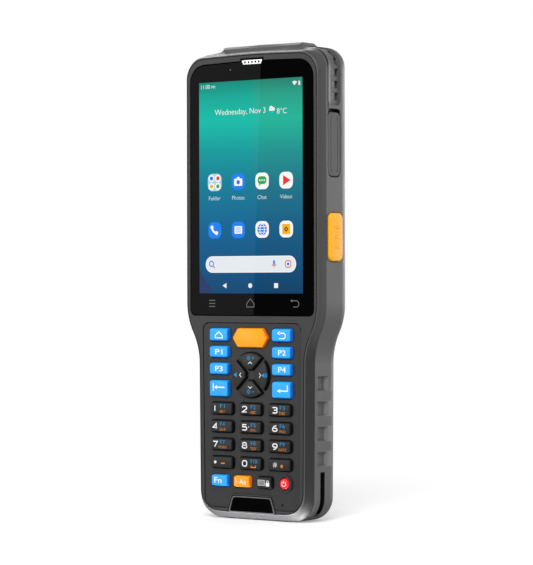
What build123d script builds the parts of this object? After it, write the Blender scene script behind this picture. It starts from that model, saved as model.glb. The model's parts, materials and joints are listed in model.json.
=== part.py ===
from build123d import *
from math import degrees
import os

# Portable barcode data terminal, millimetres.
# X runs across the front, Z runs up the length and Y runs from the glass to the battery.
# The origin is the middle of the box's underside, and the terminal stands on its foot.
# A depth is counted from the plane of the front rim towards the back.

# ---- driving dimensions: outline seen from the front ----
head_half_width = 34.3
waist_half_width = 28.6
foot_half_width = 28.0
rim_inset_side = 1.1
rim_inset_lower = 1.8
body_top = 191.7
brow_drop = 1.3
rim_drop = 2.4
rim_bottom = 2.7
waist_high = 81.6
waist_slope = 2.0
waist_softness = 4.56
foot_land = 14.0
foot_rise = 0.7
foot_blend = 80.0
crown_drop = 0.9
crown_blend = 420.0
arch_rise = 3.8
arch_slope = 0.166
head_corner = 8.0
foot_corner = 9.3
rim_head_corner = 8.6
rim_foot_corner = 8.5

# ---- driving dimensions: depths ----
shoulder_depth = 1.9
shoulder_share = 0.42
parting_depth = 4.5
brow_depth = 8.6
bevel_radius = 6.0
body_depth = 21.5
wall = 2.6
back_wall = 2.2
edge_chamfer = 0.35

# ---- driving dimensions: glass and display ----
glass_side_margin = 2.0
glass_bottom = 82.9
glass_top_margin = 2.9
glass_top_corner = 7.5
glass_bottom_corner = 2.6
glass_thickness = 1.3
glass_sink = 0.15
glass_gap = 0.12
glass_chamfer = 0.2
display_shape = 0.6
display_rise = 9.1
display_top_margin = 8.0
display_border = 1.6
display_thickness = 2.6
display_gap = 0.4
display_corner = 1.6
tray_lip = 0.6
tray_inset = 1.0

# ---- driving dimensions: keypad panel and deck ----
panel_top = 80.0
panel_bottom = 4.6
panel_half_width_top = 24.8
panel_half_width_foot = 23.9
panel_corner = 3.0
panel_foot_corner = 4.5
panel_sink = 0.3
panel_thickness = 0.7
panel_gap = 0.1
deck_thickness = 1.2
key_gap = 0.22
key_travel = 0.7
key_proud = 1.2
key_seat = 0.1
flange_lip = 0.35
flange_thickness = 0.6
key_draft = 0.6
key_edge = 0.3
key_face_tightening = 0.2
key_top_tightening = 0.45
dome_clearance = 0.15
dome_dimple = 0.15
plunger_radius = 0.9
dimple_margin = 0.5
microphone_place = (15.3, 7.0)
microphone_radius = 0.35
membrane_thickness = 0.5
membrane_margin = 1.2
membrane_bottom = 11.3
board_thickness = 1.0
plug_half_width = 8.0
plug_height = 5.0
plug_thickness = 3.0
plug_drop = 3.0

# ---- driving dimensions: key grid ----
blue_column = 15.8
blue_width = 9.3
home_row = 75.2
home_height = 4.8
soft_row = 68.2
soft_pitch = 6.9
soft_height = 4.3
tab_row = 53.2
tab_height = 6.3
scan_row = 74.0
scan_half_width = 8.7
scan_half_height = 3.7
scan_flat = 6.2
arrow_centre = 58.9
arrow_outer = 9.0
arrow_inner = 2.4
arrow_slit = 0.95
digit_column = 14.55
digit_row = 45.1
digit_pitch = 7.32
digit_width = 11.0
digit_height = 4.4
foot_row = 15.7
foot_key_height = 4.2
fn_place = -15.5
fn_width = 8.1
alpha_place = -4.3
alpha_width = 7.9
lock_place = 7.1
lock_width = 7.0
power_place = 17.0
power_radius = 2.1
collar_width = 0.8
collar_proud = 0.45

# ---- driving dimensions: name plate, grille, camera ----
plate_top = 8.9
plate_bottom = 4.4
plate_half_top = 8.6
plate_half_bottom = 10.3
plate_thickness = 0.7
plate_sink = 0.12
plate_margin = 1.6
grille_across = 0.6
grille_drop = 0.7
grille_height = 1.7
grille_half_top = 5.25
grille_half_bottom = 4.4
grille_surround = 0.7
grille_thickness = 0.8
grille_hole = 0.42
grille_pitch = 1.75
grille_holes = 5
receiver_half_width = 6.0
receiver_thickness = 2.4
receiver_below = 2.6
receiver_above = 1.6
receiver_mouth_half = 4.0
receiver_mouth_height = 1.6
receiver_mouth_depth = 0.4
lens_across = -10.0
lens_drop = 3.8
lens_radius = 1.6
lens_gap = 0.1
lens_step = 0.6
lens_nose_share = 0.6

# ---- driving dimensions: sides ----
vent_front = 6.1
vent_floor = 8.7
vent_back_margin = 1.0
vent_depth = 0.8
vent_corner = 2.4
vent_drop = 24.5
vent_inner_end = 21.0
slot_front = 9.6
slot_step = 12.1
slot_back_margin = 0.7
slot_height = 3.0
slot_pitch = 4.8
slot_lead = 3.7
slot_count = 5
slot_ramp = 0.4
slot_deep = 1.4
cover_front = 5.7
cover_back_margin = 1.4
cover_drop = 27.3
cover_length = 25.6
cover_thickness = 1.5
cover_gap = 0.4
cover_corner = 2.4
finger_gap = 1.0
cover_edge = 0.4
cover_line_inset = 1.7
cover_line_width = 0.4
cover_line_depth = 0.25
cover_line_break = 3.0
cover_hinge_rise = 0.8
tether_width = 3.0
tether_height = 2.0
port_width = 3.2
port_height = 8.9
port_length = 6.4
port_wall = 0.3
port_drop = 12.4
port_gap = 0.05
port_corner = 1.2
port_tongue = 0.7
port_tongue_margin = 1.2
port_tongue_setback = 0.6
port_back_wall = 1.0
port_pad = 3.6
tether_lip = 0.8
tether_rise = 0.6
trigger_front = 5.6
trigger_back_margin = 0.9
trigger_drop = 67.5
trigger_length = 19.4
trigger_corner = 2.6
trigger_proud = 1.1
trigger_travel = 0.8
trigger_gap = 0.25
trigger_crown = 0.9
trigger_flange = 0.8
trigger_ridge_shift = 0.6
trigger_ridge_pitch = 3.9
trigger_ridge_width = 3.4
trigger_ridge_height = 0.9
trigger_ridge_proud = 0.25
grip_front = 6.1
grip_valley = 11.9
grip_back_margin = 0.9
grip_depth = 1.5
grip_length = 6.2
grip_pitch = 10.1
grip_first = 25.5
grip_count = 4
grip_end = 0.9
grip_lead = 1.2
grip_run_out = 0.3
strap_front = 8.5
strap_back = 11.5
strap_top = 20.1
strap_bottom = 3.2
strap_depth = 1.8
strap_inner_end = 24.5

# ---- driving dimensions: scanner hood ----
hood_rise = 1.6
hood_half_front = 18.8
hood_half_back = 21.0
hood_wall_drop = 1.1
hood_wall_depth = 7.0
hood_rise_depth = 9.2
hood_back_margin = 4.5
hood_end = 1.6
hood_slope = 2.0
ledge_rise = 0.5
ledge_step = 0.3
ledge_web_low = 12.0
ledge_web_high = 14.2
window_half_width = 13.0
window_front = 9.6
window_back_margin = 0.8
window_thickness = 1.2
window_sink = 0.3
window_corner = 1.2
window_ledge = 1.0
window_chamfer = 0.2

# ---- driving dimensions: battery and latch ----
pack_half_width = 20.5
pack_bottom = 34.0
pack_top = 124.0
pack_corner = 4.0
can_gap = 1.05
pack_proud = 1.0
pack_gap = 0.25
pack_chamfer = 0.7
tab_place = 12.0
tab_half_width = 2.5
tab_reach = 0.9
tab_front = 17.4
tab_thickness = 1.4
bay_wall = 1.5
bay_floor = 1.2
latch_half_width = 7.0
latch_height = 5.0
latch_thickness = 2.2
latch_travel = 2.5
latch_gap = 0.25
latch_wall = 1.6
latch_skirt = 1.4
latch_rail = 0.7
latch_rail_inset = 1.0
rail_setback = 0.6
rail_thickness = 1.0
tongue_half_width = 5.0
tongue_reach = 1.2
ridge_height = 0.4
ridge_pitch = 1.3
ridge_width = 9.0
ridge_thickness = 0.6
latch_corner = 0.8

# ---- driving dimensions: fasteners and inner pieces ----
screw_radius = 1.0
screw_head_radius = 1.7
screw_head_height = 1.4
screw_seat_depth = 9.5
screw_bite = 1.9
screw_clearance = 0.15
boss_wall = 1.2
screw_socket_radius = 0.8
screw_socket_depth = 0.8
screw_chamfer = 0.25
screw_head_margin = 7.3
screw_head_drop = 8.7
screw_waist_margin = 6.7
screw_waist_rise = 4.8
screw_foot_place = (17.6, 7.4)
gasket_width = 0.8
gasket_depth = 0.6
gasket_inset = 0.9
frame_thickness = 1.2
frame_side_gap = 3.5
frame_rise = 5.4
frame_drop = 8.7
frame_gap = 0.1
frame_pocket_width = 12.0
frame_pocket_height = 16.0
frame_pocket_pitch = 17.2
frame_pocket_first = 14.0
frame_pocket_rise = 22.0
standoff_height = 1.8
standoff_radius = 1.6
main_side_gap = 4.3
main_rise = 5.0
main_drop = 2.0
standoff_low = 5.0
standoff_high = 12.0
main_thickness = 1.0
can_thickness = 1.4
can_lower_place = (12.2, 12.0)
can_lower_size = (21.0, 15.0)
can_upper_drop = 18.0
can_upper_size = (24.0, 14.0)
spring_contact_half = 5.0
spring_contact_low = 116.0
spring_contact_height = 5.0
spring_contact_gap = 0.2
spring_blade_count = 4
spring_blade_pitch = 2.4
spring_blade_width = 1.0
spring_blade_depth = 0.6
spring_blade_margin = 0.8
charge_count = 5
charge_pitch = 4.0
charge_row = 15.0
charge_width = 2.2
charge_height = 4.6
charge_thickness = 0.6
charge_corner = 0.6
charge_sink = 0.05
camera_across = 12.0
camera_drop = 27.7
camera_radius = 4.0
camera_ring = 1.2
camera_lens_sink = 0.7
camera_sink = 0.1
camera_body_size = 9.4
camera_body_depth = 6.3
flash_pitch = 8.5
flash_radius = 2.0
flash_foot = 5.0
flash_foot_thickness = 2.0
speaker_across = -14.0
speaker_rise = 12.4
speaker_slot_count = 5
speaker_slot_pitch = 2.4
speaker_slot_length = 8.0
speaker_slot_width = 1.2
speaker_width = 16.0
speaker_height = 11.0
speaker_thickness = 3.4
speaker_rim = 1.5
speaker_cone_depth = 0.5
engine_half_width = 11.0
engine_back_gap = 2.2
engine_height = 16.8
engine_barrel = 1.5
engine_lens_sink = 0.6
emitter_place = -4.5
emitter_radius = 3.2
reader_place = 5.0
reader_radius = 2.2
engine_lens_share = 0.7
motor_margin = 9.4
motor_rise = 7.5
motor_radius = 4.5
motor_thickness = 2.7
motor_chamfer = 0.3
switch_half_height = 3.0
switch_width = 3.4
switch_thickness = 3.0
inner_gap = 0.3
touch_gap = 0.05


# ---- values worked out from the driving dimensions ----
brow_height = body_top - brow_drop
rim_top = body_top - rim_drop
hood_top = body_top + hood_rise
hood_wall_top = hood_top - hood_wall_drop
waist_step = head_half_width - waist_half_width
waist_low = waist_high - waist_slope * waist_step
waist_blend = waist_softness * waist_step
glass_half_width = head_half_width - rim_inset_side - glass_side_margin
glass_top = rim_top - glass_top_margin
display_bottom = glass_bottom + display_rise
display_height = glass_top - display_top_margin - display_bottom
display_width = display_shape * display_height
grille_place = (grille_across, glass_top - grille_drop)
lens_place = (lens_across, glass_top - lens_drop)
vent_bottom = body_top - vent_drop
slot_first = vent_bottom + slot_lead
cover_top = body_top - cover_drop
cover_bottom = cover_top - cover_length
port_centre = cover_top - port_drop
trigger_top = body_top - trigger_drop
trigger_bottom = trigger_top - trigger_length
screw_head_place = (head_half_width - screw_head_margin, body_top - screw_head_drop)
screw_waist_place = (head_half_width - screw_waist_margin, waist_high + screw_waist_rise)
camera_place = (camera_across, body_top - camera_drop)
flash_place = (camera_across + flash_pitch, body_top - camera_drop)
back_reach = body_depth + pack_proud
rim_y = key_proud - (back_reach + key_proud) / 2
panel_depth = panel_sink + panel_thickness
deck_back = panel_depth + deck_thickness
flange_front = deck_back + key_seat
flange_back = flange_front + flange_thickness
membrane_front = parting_depth
plunger_tip = membrane_front - key_travel - dome_clearance
membrane_back = membrane_front + membrane_thickness
glass_back = glass_sink + glass_thickness
display_back = glass_back + display_thickness
frame_front = parting_depth + frame_gap
frame_back = frame_front + frame_thickness
cavity_back = body_depth - back_wall
engine_back = cavity_back - engine_back_gap
camera_body_front = cavity_back - camera_body_depth
side_back = body_depth - bevel_radius
vent_back = side_back - vent_back_margin
slot_back = vent_back - slot_back_margin
cover_back = side_back - cover_back_margin
trigger_back = side_back - trigger_back_margin
grip_back = side_back - grip_back_margin
hood_back = body_depth - hood_back_margin
window_back = hood_back - window_back_margin
inner_half_width = head_half_width - wall
frame_half_width = inner_half_width - frame_side_gap
frame_bottom = waist_high + frame_rise
frame_top = body_top - frame_drop
main_half_width = inner_half_width - main_side_gap
main_bottom = frame_bottom + main_rise
main_top = frame_top - main_drop
motor_place = (motor_margin - main_half_width, pack_top + motor_rise)
cover_floor = head_half_width - cover_thickness - cover_gap
latch_bottom = pack_top + pack_gap + latch_wall + latch_gap
speaker_place = (speaker_across, latch_bottom + latch_height + latch_travel + speaker_rise)
latch_front = body_depth - latch_thickness
rail_front = latch_front + rail_setback
rail_back = rail_front + rail_thickness
main_front = frame_back + standoff_height
main_back = main_front + main_thickness
floor_front = main_back + can_thickness + can_gap
floor_back = floor_front + bay_floor
pack_front = floor_back + pack_gap
engine_top = body_top - wall - inner_gap
engine_bottom = engine_top - engine_height
screw_boss = screw_head_radius + screw_clearance + boss_wall
arch_top = body_top + arch_rise
arch_reach = head_half_width - head_corner
corner_height = arch_top - arch_slope * arch_reach - head_corner * (1 + arch_slope ** 2) ** 0.5
trigger_flange_back = inner_half_width - inner_gap / 2
trigger_flange_front = inner_half_width - inner_gap - trigger_flange
hinge_z = cover_bottom + cover_hinge_rise


def y_at(depth):
    """The Y of a depth behind the front rim."""
    return rim_y + depth


def at_depth(sketch, depth):
    """A flat shape, drawn as seen from the front, placed at a depth."""
    return Pos(0, y_at(depth), 0) * (Plane.XZ * sketch)


def slab(sketch, front, back):
    """A flat shape, drawn as seen from the front, filled between two depths."""
    return extrude(at_depth(sketch, back), amount=back - front)


def rounded(points, radii):
    """A closed outline of straight runs with one rounding for each corner."""
    return make_face(FilletPolyline(*points, radius=radii, close=True))


def mirrored(points, radii):
    """The right half of an outline, lowest point first, completed by its left half."""
    left = [(-x, z) for x, z in reversed(points) if x > 0]
    left_radii = [r for (x, z), r in zip(reversed(points), reversed(radii)) if x > 0]
    return rounded(points + left, radii + left_radii)


def body_outline(side, lower, top, bottom, corner_top, corner_foot, crown=crown_drop,
                 blend=crown_blend):
    """The figure of the body: wide head, curved waist, narrower grip, arched top."""
    points = [
        (foot_land, bottom),
        (foot_half_width - lower, bottom + foot_rise),
        (waist_half_width - lower, waist_low),
        (head_half_width - side, waist_high),
        (head_half_width - side, top - crown),
        (0, top),
    ]
    radii = [foot_blend, corner_foot, waist_blend, waist_blend, corner_top, blend]
    return mirrored(points, radii)


def side_outline(inset=0.0):
    """The outline of the side walls behind the brow, or one set in; its top is a high arch."""
    half = head_half_width - inset
    corner = head_corner - inset / 2
    return body_outline(inset, inset, arch_top - inset, inset, corner, foot_corner - inset / 2,
                        arch_slope * half, (half - corner) / arch_slope)


def parting_outline(inset=0.0):
    """The outline where the two housings meet, lower at the brow, or one set in from it."""
    return body_outline(
        inset, inset, brow_height - inset, inset, head_corner - inset / 2, foot_corner - inset / 2
    )


def rim_outline(inset=0.0):
    """The outline of the front rim, or one set in from it."""
    return body_outline(
        rim_inset_side + inset,
        rim_inset_lower + inset,
        rim_top - inset,
        rim_bottom + inset,
        rim_head_corner,
        rim_foot_corner,
    )


def shoulder_outline():
    """The outline between the rim and the parting, where the band's slope changes."""
    share = shoulder_share
    return body_outline(
        rim_inset_side * share,
        rim_inset_lower * share,
        rim_top * share + brow_height * (1 - share),
        rim_bottom * share,
        rim_head_corner * share + head_corner * (1 - share),
        rim_foot_corner * share + foot_corner * (1 - share),
    )


def glass_outline(grow=0.0):
    """The touch glass: arched, large upper corners, small lower ones, a brow round the grille."""
    points = [
        (glass_half_width + grow, glass_bottom - grow),
        (glass_half_width + grow, glass_top - crown_drop + grow),
        (0, glass_top + grow),
    ]
    plain = mirrored(points, [glass_bottom_corner, glass_top_corner, crown_blend])
    return plain + grille_outline(grille_surround + grow)


def panel_outline(grow=0.0):
    """The keypad panel, with its notch over the name plate."""
    notch_top = plate_top + plate_margin - grow
    notch_half = plate_half_top + plate_margin / 2 - grow
    notch_foot = plate_half_bottom + plate_margin - grow
    points = [
        (notch_half, notch_top),
        (notch_foot, panel_bottom - grow),
        (panel_half_width_foot + grow, panel_bottom - grow),
        (panel_half_width_top + grow, panel_top + grow),
    ]
    left = [(-x, z) for x, z in reversed(points)]
    radii = [0.8, 0.8, panel_foot_corner, panel_corner]
    return rounded(points + left, radii + radii[::-1])


def plate_outline(grow=0.0):
    """The trapezoid of the bare name plate."""
    points = [
        (plate_half_bottom + grow, plate_bottom - grow),
        (plate_half_top + grow, plate_top + grow),
        (-plate_half_top - grow, plate_top + grow),
        (-plate_half_bottom - grow, plate_bottom - grow),
    ]
    return rounded(points, [0.7] * 4)


def block(x_low, x_high, depth_low, depth_high, z_low, z_high):
    """A plain box between two X, two depths and two heights."""
    size = (x_high - x_low, depth_high - depth_low, z_high - z_low)
    centre = ((x_low + x_high) / 2, y_at((depth_low + depth_high) / 2), (z_low + z_high) / 2)
    return Pos(*centre) * Box(*size)


def side_slab(sketch, x_low, x_high):
    """A flat shape, drawn as depth and height on the right side, filled between two X."""
    placed = Pos(x_low, rim_y, 0) * (Plane.YZ * sketch)
    return extrude(placed, amount=x_high - x_low)


def peg(place, radius, front, back):
    """A round peg or hole along the depth."""
    return slab(Pos(*place) * Circle(radius), front, back)


def both_sides(piece):
    """A piece of the right side and its twin on the left."""
    return [piece, mirror(piece, Plane.YZ)]


# ---- keys ----

def key_box(width, height, corner, place):
    """An upright key outline, and the same outline at its smaller face."""
    base = Pos(*place) * RectangleRounded(width + key_draft, height + key_draft, corner)
    face = Pos(*place) * RectangleRounded(width, height, corner - key_face_tightening)
    top = Pos(*place) * RectangleRounded(
        width - 2 * key_edge, height - 2 * key_edge, corner - key_top_tightening
    )
    return base, face, top


def scan_key():
    """The hexagon of the scan key at its base, shoulder and face."""
    def hexagon(grow):
        points = [
            (scan_half_width + grow, scan_row),
            (scan_flat + grow / 2, scan_row + scan_half_height + grow),
            (-scan_flat - grow / 2, scan_row + scan_half_height + grow),
            (-scan_half_width - grow, scan_row),
            (-scan_flat - grow / 2, scan_row - scan_half_height - grow),
            (scan_flat + grow / 2, scan_row - scan_half_height - grow),
        ]
        return rounded(points, [1.0, 0.8, 0.8, 1.0, 0.8, 0.8])
    return hexagon(key_draft / 2), hexagon(0), hexagon(-2 * key_edge)


def arrow_key(turn):
    """One quarter of the arrow ring at its base, shoulder and face."""
    def quarter(grow):
        reach = arrow_outer + grow
        inner = arrow_inner - grow
        slit = arrow_slit - grow
        ring = Circle(reach) - Circle(inner)
        tip = slit * 2 ** 0.5
        span = 2 * arrow_outer
        wedge = make_face(Polyline((0, tip), (span, span + tip), (-span, span + tip), close=True))
        return Pos(0, arrow_centre) * Rot(0, 0, turn) * (ring & wedge)
    return quarter(key_draft / 2), quarter(0), quarter(-key_edge)


def key_outlines():
    """Every key's name with its base, shoulder and face outlines."""
    soft_low = soft_row - soft_pitch
    blue = [
        ("home", -1, home_row, home_height), ("back", 1, home_row, home_height),
        ("p1", -1, soft_row, soft_height), ("p2", 1, soft_row, soft_height),
        ("p3", -1, soft_low, soft_height), ("p4", 1, soft_low, soft_height),
        ("tab", -1, tab_row, tab_height), ("enter", 1, tab_row, tab_height),
    ]
    keys = {"key_scan": scan_key()}
    for name, side, row, height in blue:
        keys["key_" + name] = key_box(blue_width, height, 1.1, (side * blue_column, row))
    for name, turn in (("up", 0), ("left", 90), ("down", 180), ("right", 270)):
        keys["key_" + name] = arrow_key(turn)
    digits = ["1", "2", "3", "4", "5", "6", "7", "8", "9", "dot", "0", "hash"]
    for number, name in enumerate(digits):
        row, column = divmod(number, 3)
        place = ((column - 1) * digit_column, digit_row - row * digit_pitch)
        keys["key_" + name] = key_box(digit_width, digit_height, 1.2, place)
    for name, place, width in (("fn", fn_place, fn_width), ("alpha", alpha_place, alpha_width),
                               ("lock", lock_place, lock_width)):
        keys["key_" + name] = key_box(width, foot_key_height, 1.0, (place, foot_row))
    spot = Pos(power_place, foot_row)
    keys["key_power"] = (spot * Circle(power_radius + key_draft / 2), spot * Circle(power_radius),
                         spot * Circle(power_radius - key_edge))
    return keys


def key_solid(base, face, top):
    """A key: drafted cap, straight stem through the deck, flange behind it and a plunger."""
    cap = loft([at_depth(base, panel_sink), at_depth(face, key_edge - key_proud),
                at_depth(top, -key_proud)], ruled=True)
    stem = slab(base, panel_sink, flange_front)
    flange = slab(offset(base, amount=flange_lip), flange_front, flange_back)
    spot = flange.center()
    plunger = peg((spot.X, spot.Z), plunger_radius, flange_back, plunger_tip)
    return cap + stem + flange + plunger


# ---- front housing and what it carries ----

def front_housing(keys):
    """The bezel: convex band, glass recess, keypad deck with its key holes."""
    rim_face = at_depth(rim_outline(edge_chamfer), 0)
    rim_edge = at_depth(rim_outline(), edge_chamfer)
    shell = loft([rim_face, rim_edge, at_depth(shoulder_outline(), shoulder_depth),
                  at_depth(parting_outline(), parting_depth)], ruled=True)
    shell -= slab(glass_outline(glass_gap), -1, glass_back)
    shell -= slab(display_outline(display_gap), glass_back - 1, parting_depth + 1)
    shell -= slab(panel_outline(panel_gap), -1, panel_depth)
    shell -= slab(plate_outline(panel_gap), -1, plate_sink + plate_thickness)
    shell -= slab(offset(membrane_outline(), amount=-membrane_margin), deck_back, parting_depth + 1)
    for base, face, top in keys.values():
        shell -= slab(offset(base, amount=key_gap), panel_depth - 0.1, deck_back + 0.1)
    for place in screw_places():
        shell -= peg(place, screw_radius, parting_depth - screw_bite, parting_depth + 1)
    shell -= slab(grille_outline(glass_gap), glass_back - 1, parting_depth + 1)
    shell -= peg(lens_place, lens_radius + lens_gap, glass_back - 1, parting_depth + 1)
    return shell


def membrane_outline():
    """The rectangle of the key membrane and its board."""
    middle = (membrane_bottom + panel_top) / 2
    return Pos(0, middle) * RectangleRounded(
        2 * panel_half_width_foot, panel_top - membrane_bottom, 2.0
    )


def display_outline(grow=0.0):
    """The display module's outline, or the opening around it."""
    middle = display_bottom + display_height / 2
    width = display_width + 2 * display_border + 2 * grow
    height = display_height + 2 * display_border + 2 * grow
    return Pos(0, middle) * RectangleRounded(width, height, display_corner + grow)


def grille_outline(grow=0.0):
    """The trapezoid of the earpiece grille."""
    half = grille_height / 2 + grow
    points = [
        (grille_half_bottom + grow, -half),
        (grille_half_top + grow, half),
        (-grille_half_top - grow, half),
        (-grille_half_bottom - grow, -half),
    ]
    return Pos(*grille_place) * rounded(points, [0.3] * 4)


def screw_places():
    """The six housing screws, three on each side."""
    right = [screw_head_place, screw_waist_place, screw_foot_place]
    return right + [(-x, z) for x, z in right]


def touch_glass():
    """The glass over the display, with the grille's opening through it."""
    glass = slab(glass_outline(), glass_sink, glass_back)
    rim = glass.faces().sort_by(Axis.Y)[0].outer_wire().edges()
    glass = chamfer(rim, glass_chamfer)
    return glass - slab(grille_outline(), -1, glass_back + 1)


def display_module():
    """The display panel bonded behind the glass, with its metal back tray's flange."""
    panel = slab(display_outline(), glass_back, display_back - tray_lip)
    return panel + slab(display_outline(-tray_inset), display_back - tray_lip, display_back)


def earpiece_grille():
    """The trapezoid insert with its row of sound holes."""
    insert = slab(grille_outline(), glass_sink, glass_sink + grille_thickness)
    for number in range(grille_holes):
        across = grille_place[0] + (number - (grille_holes - 1) / 2) * grille_pitch
        insert -= peg((across, grille_place[1]), grille_hole, -1, glass_back)
    return insert


def earpiece_receiver():
    """The small loudspeaker for the ear, behind the grille."""
    across, height = grille_place
    case = block(across - receiver_half_width, across + receiver_half_width, frame_front,
                 frame_front + receiver_thickness, height - receiver_below, height + receiver_above)
    case = fillet(case.edges().filter_by(Axis.Y), 1.0)
    mouth = Pos(across, height) * Rectangle(2 * receiver_mouth_half, receiver_mouth_height)
    return case - slab(mouth, frame_front - 1, frame_front + receiver_mouth_depth)


def front_camera():
    """The selfie camera: a stepped barrel behind the glass."""
    body = peg(lens_place, lens_radius, glass_back + lens_step, frame_front - touch_gap)
    return body + peg(lens_place, lens_radius * lens_nose_share, glass_back, glass_back + lens_step)


def keypad_panel(keys):
    """The thin panel round the keys, with one hole for each key and one for the microphone."""
    panel = slab(panel_outline(), panel_sink, panel_depth)
    for base, face, top in keys.values():
        panel -= slab(offset(base, amount=key_gap), 0, panel_depth + 1)
    collar = keys["key_power"][0]
    ring = offset(collar, amount=key_gap + collar_width) - offset(collar, amount=key_gap)
    panel += slab(ring, -collar_proud, panel_depth)
    return panel - peg(microphone_place, microphone_radius, 0, panel_depth + 1)


def key_membrane(keys):
    """The rubber sheet under the keys, with a dimple at each key's plunger."""
    sheet = slab(membrane_outline(), membrane_front, membrane_back)
    for base, face, top in keys.values():
        spot = base.center()
        sheet -= peg((spot.X, spot.Y), plunger_radius + dimple_margin, membrane_front - 1,
                     membrane_front + dome_dimple)
    return sheet


def keypad_board():
    """The circuit board behind the membrane, with its connector."""
    board = slab(membrane_outline(), membrane_back, membrane_back + board_thickness)
    plug_top = panel_top - plug_drop
    return board + block(-plug_half_width, plug_half_width, membrane_back,
                         membrane_back + plug_thickness, plug_top - plug_height, plug_top)


def name_plate():
    """The bare plate at the foot."""
    plate = slab(plate_outline(), plate_sink, plate_sink + plate_thickness)
    return chamfer(plate.faces().sort_by(Axis.Y)[0].edges(), 0.15)


# ---- rear housing and its features ----

def hood():
    """The raised scanner hood on the top end: upright front wall, sloped top, chamfered ends."""
    low = body_top - wall
    profile = [
        (hood_wall_depth, low), (hood_wall_depth, hood_wall_top), (hood_rise_depth, hood_top),
        (hood_back, hood_top), (hood_back + hood_slope, low),
    ]
    side = make_face(Polyline(*profile, close=True))
    ridge = side_slab(side, -hood_half_back, hood_half_back)
    plan = [
        (-hood_half_front, y_at(hood_wall_depth)), (hood_half_front, y_at(hood_wall_depth)),
        (hood_half_back, y_at(hood_rise_depth)), (hood_half_back, y_at(body_depth)),
        (-hood_half_back, y_at(body_depth)), (-hood_half_back, y_at(hood_rise_depth)),
    ]
    ridge &= Pos(0, 0, low) * extrude(make_face(Polyline(*plan, close=True)), amount=hood_top - low)
    front = [
        (-hood_half_back - 1, low), (hood_half_back + 1, low), (hood_half_back + 1, body_top - 1),
        (hood_half_back - hood_end, hood_top), (hood_end - hood_half_back, hood_top),
        (-hood_half_back - 1, body_top - 1),
    ]
    return ridge & slab(make_face(Polyline(*front, close=True)), 0, body_depth)


def hood_ledges():
    """The two ledges at the foot of the hood's front wall, parted by a web."""
    cuts = []
    spans = ((-hood_half_back, ledge_web_low, 0), (ledge_web_high, hood_half_back, ledge_step))
    for left, right, step in spans:
        profile = [
            (parting_depth, brow_height + step), (hood_wall_depth, brow_height + ledge_rise + step),
            (hood_wall_depth, hood_top + 1), (parting_depth, hood_top + 1),
        ]
        cuts.append(side_slab(make_face(Polyline(*profile, close=True)), left, right))
    return cuts


def tub(inset, brow_top, back, bevel):
    """A solid with the rear housing's form, or the hollow set in from it."""
    brow = loft([at_depth(parting_outline(inset), parting_depth),
                 at_depth(side_outline(inset), brow_depth)], ruled=True)
    rest = slab(side_outline(inset), brow_depth, back)
    return brow + fillet(rest.faces().sort_by(Axis.Y)[-1].edges(), bevel)


def pack_outline(grow=0.0):
    """The battery pack seen from the front or the back."""
    middle = (pack_bottom + pack_top) / 2
    size = (2 * (pack_half_width + grow), pack_top - pack_bottom + 2 * grow)
    return Pos(0, middle) * RectangleRounded(*size, pack_corner + grow)


def pack_tabs(grow=0.0):
    """The two tabs that hook the pack's lower end into the bay wall, or the holes for them."""
    tab = block(tab_place - tab_half_width - grow, tab_place + tab_half_width + grow,
                tab_front - grow, tab_front + tab_thickness + grow,
                pack_bottom - tab_reach - grow, pack_bottom + 1)
    return both_sides(tab)


def cover_sketch(grow=0.0, extra=0.0):
    """The port cover in depth and height, with extra room at its top for a fingernail."""
    width = cover_back - cover_front + 2 * grow
    height = cover_top - cover_bottom + 2 * grow + extra
    middle = ((cover_front + cover_back) / 2, (cover_bottom + cover_top + extra) / 2)
    return Pos(*middle) * RectangleRounded(width, height, cover_corner + grow)


def trigger_sketch(grow=0.0):
    """The scan trigger in depth and height."""
    size = (trigger_back - trigger_front + 2 * grow, trigger_top - trigger_bottom + 2 * grow)
    middle = ((trigger_front + trigger_back) / 2, (trigger_bottom + trigger_top) / 2)
    return Pos(*middle) * RectangleRounded(*size, trigger_corner + grow)


def vent_channel():
    """The channel that follows the outline round the upper right corner: ramp, floor, back wall."""
    core = loft([at_depth(side_outline(), vent_front),
                 at_depth(side_outline(vent_depth), vent_floor)], ruled=True)
    core += slab(side_outline(vent_depth), vent_floor, vent_back)
    height = arch_top - vent_bottom
    middle = ((vent_front + vent_back) / 2, vent_bottom + height / 2)
    reach = Pos(*middle) * RectangleRounded(vent_back - vent_front, height, vent_corner)
    return side_slab(reach, vent_inner_end, head_half_width + 1) - core


def vent_slots():
    """The louvre slots, which follow the channel round the corner; each slopes in to a deep step."""
    floor = head_corner - vent_depth
    ramp = make_face(Polyline((floor + 1, slot_front), (floor, slot_front),
                              (floor - slot_ramp, slot_step), (floor - slot_deep, slot_step),
                              (floor - slot_deep, slot_back), (floor + 1, slot_back), close=True))
    cut = Pos(0, rim_y, 0) * extrude(ramp, amount=slot_height / 2, both=True)
    corner_across = head_half_width - head_corner
    cuts = []
    for number in range(slot_count):
        height = slot_first + number * slot_pitch
        turn = max(0, height - corner_height) / head_corner
        place = Pos(corner_across, 0, min(height, corner_height))
        cuts.append(place * Rot(0, -degrees(turn), 0) * cut)
    return cuts


def grip_recess(low):
    """One finger recess: long slope in from the front, steep rear wall, sloped ends."""
    valley = waist_half_width - grip_depth
    end = grip_end
    mouth = [(grip_front, low), (grip_back, low), (grip_back, low + grip_length),
             (grip_front, low + grip_length)]
    start = grip_front + grip_lead
    deep = [(start, low + end), (grip_valley, low + end),
            (grip_valley, low + grip_length - end), (start, low + grip_length - end)]
    faces = []
    for x, ring in ((waist_half_width + grip_run_out, mouth), (valley, deep)):
        face = make_face(Polyline(*ring, close=True))
        faces.append(Pos(x, rim_y, 0) * (Plane.YZ * face))
    return loft(faces, ruled=True)


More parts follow.
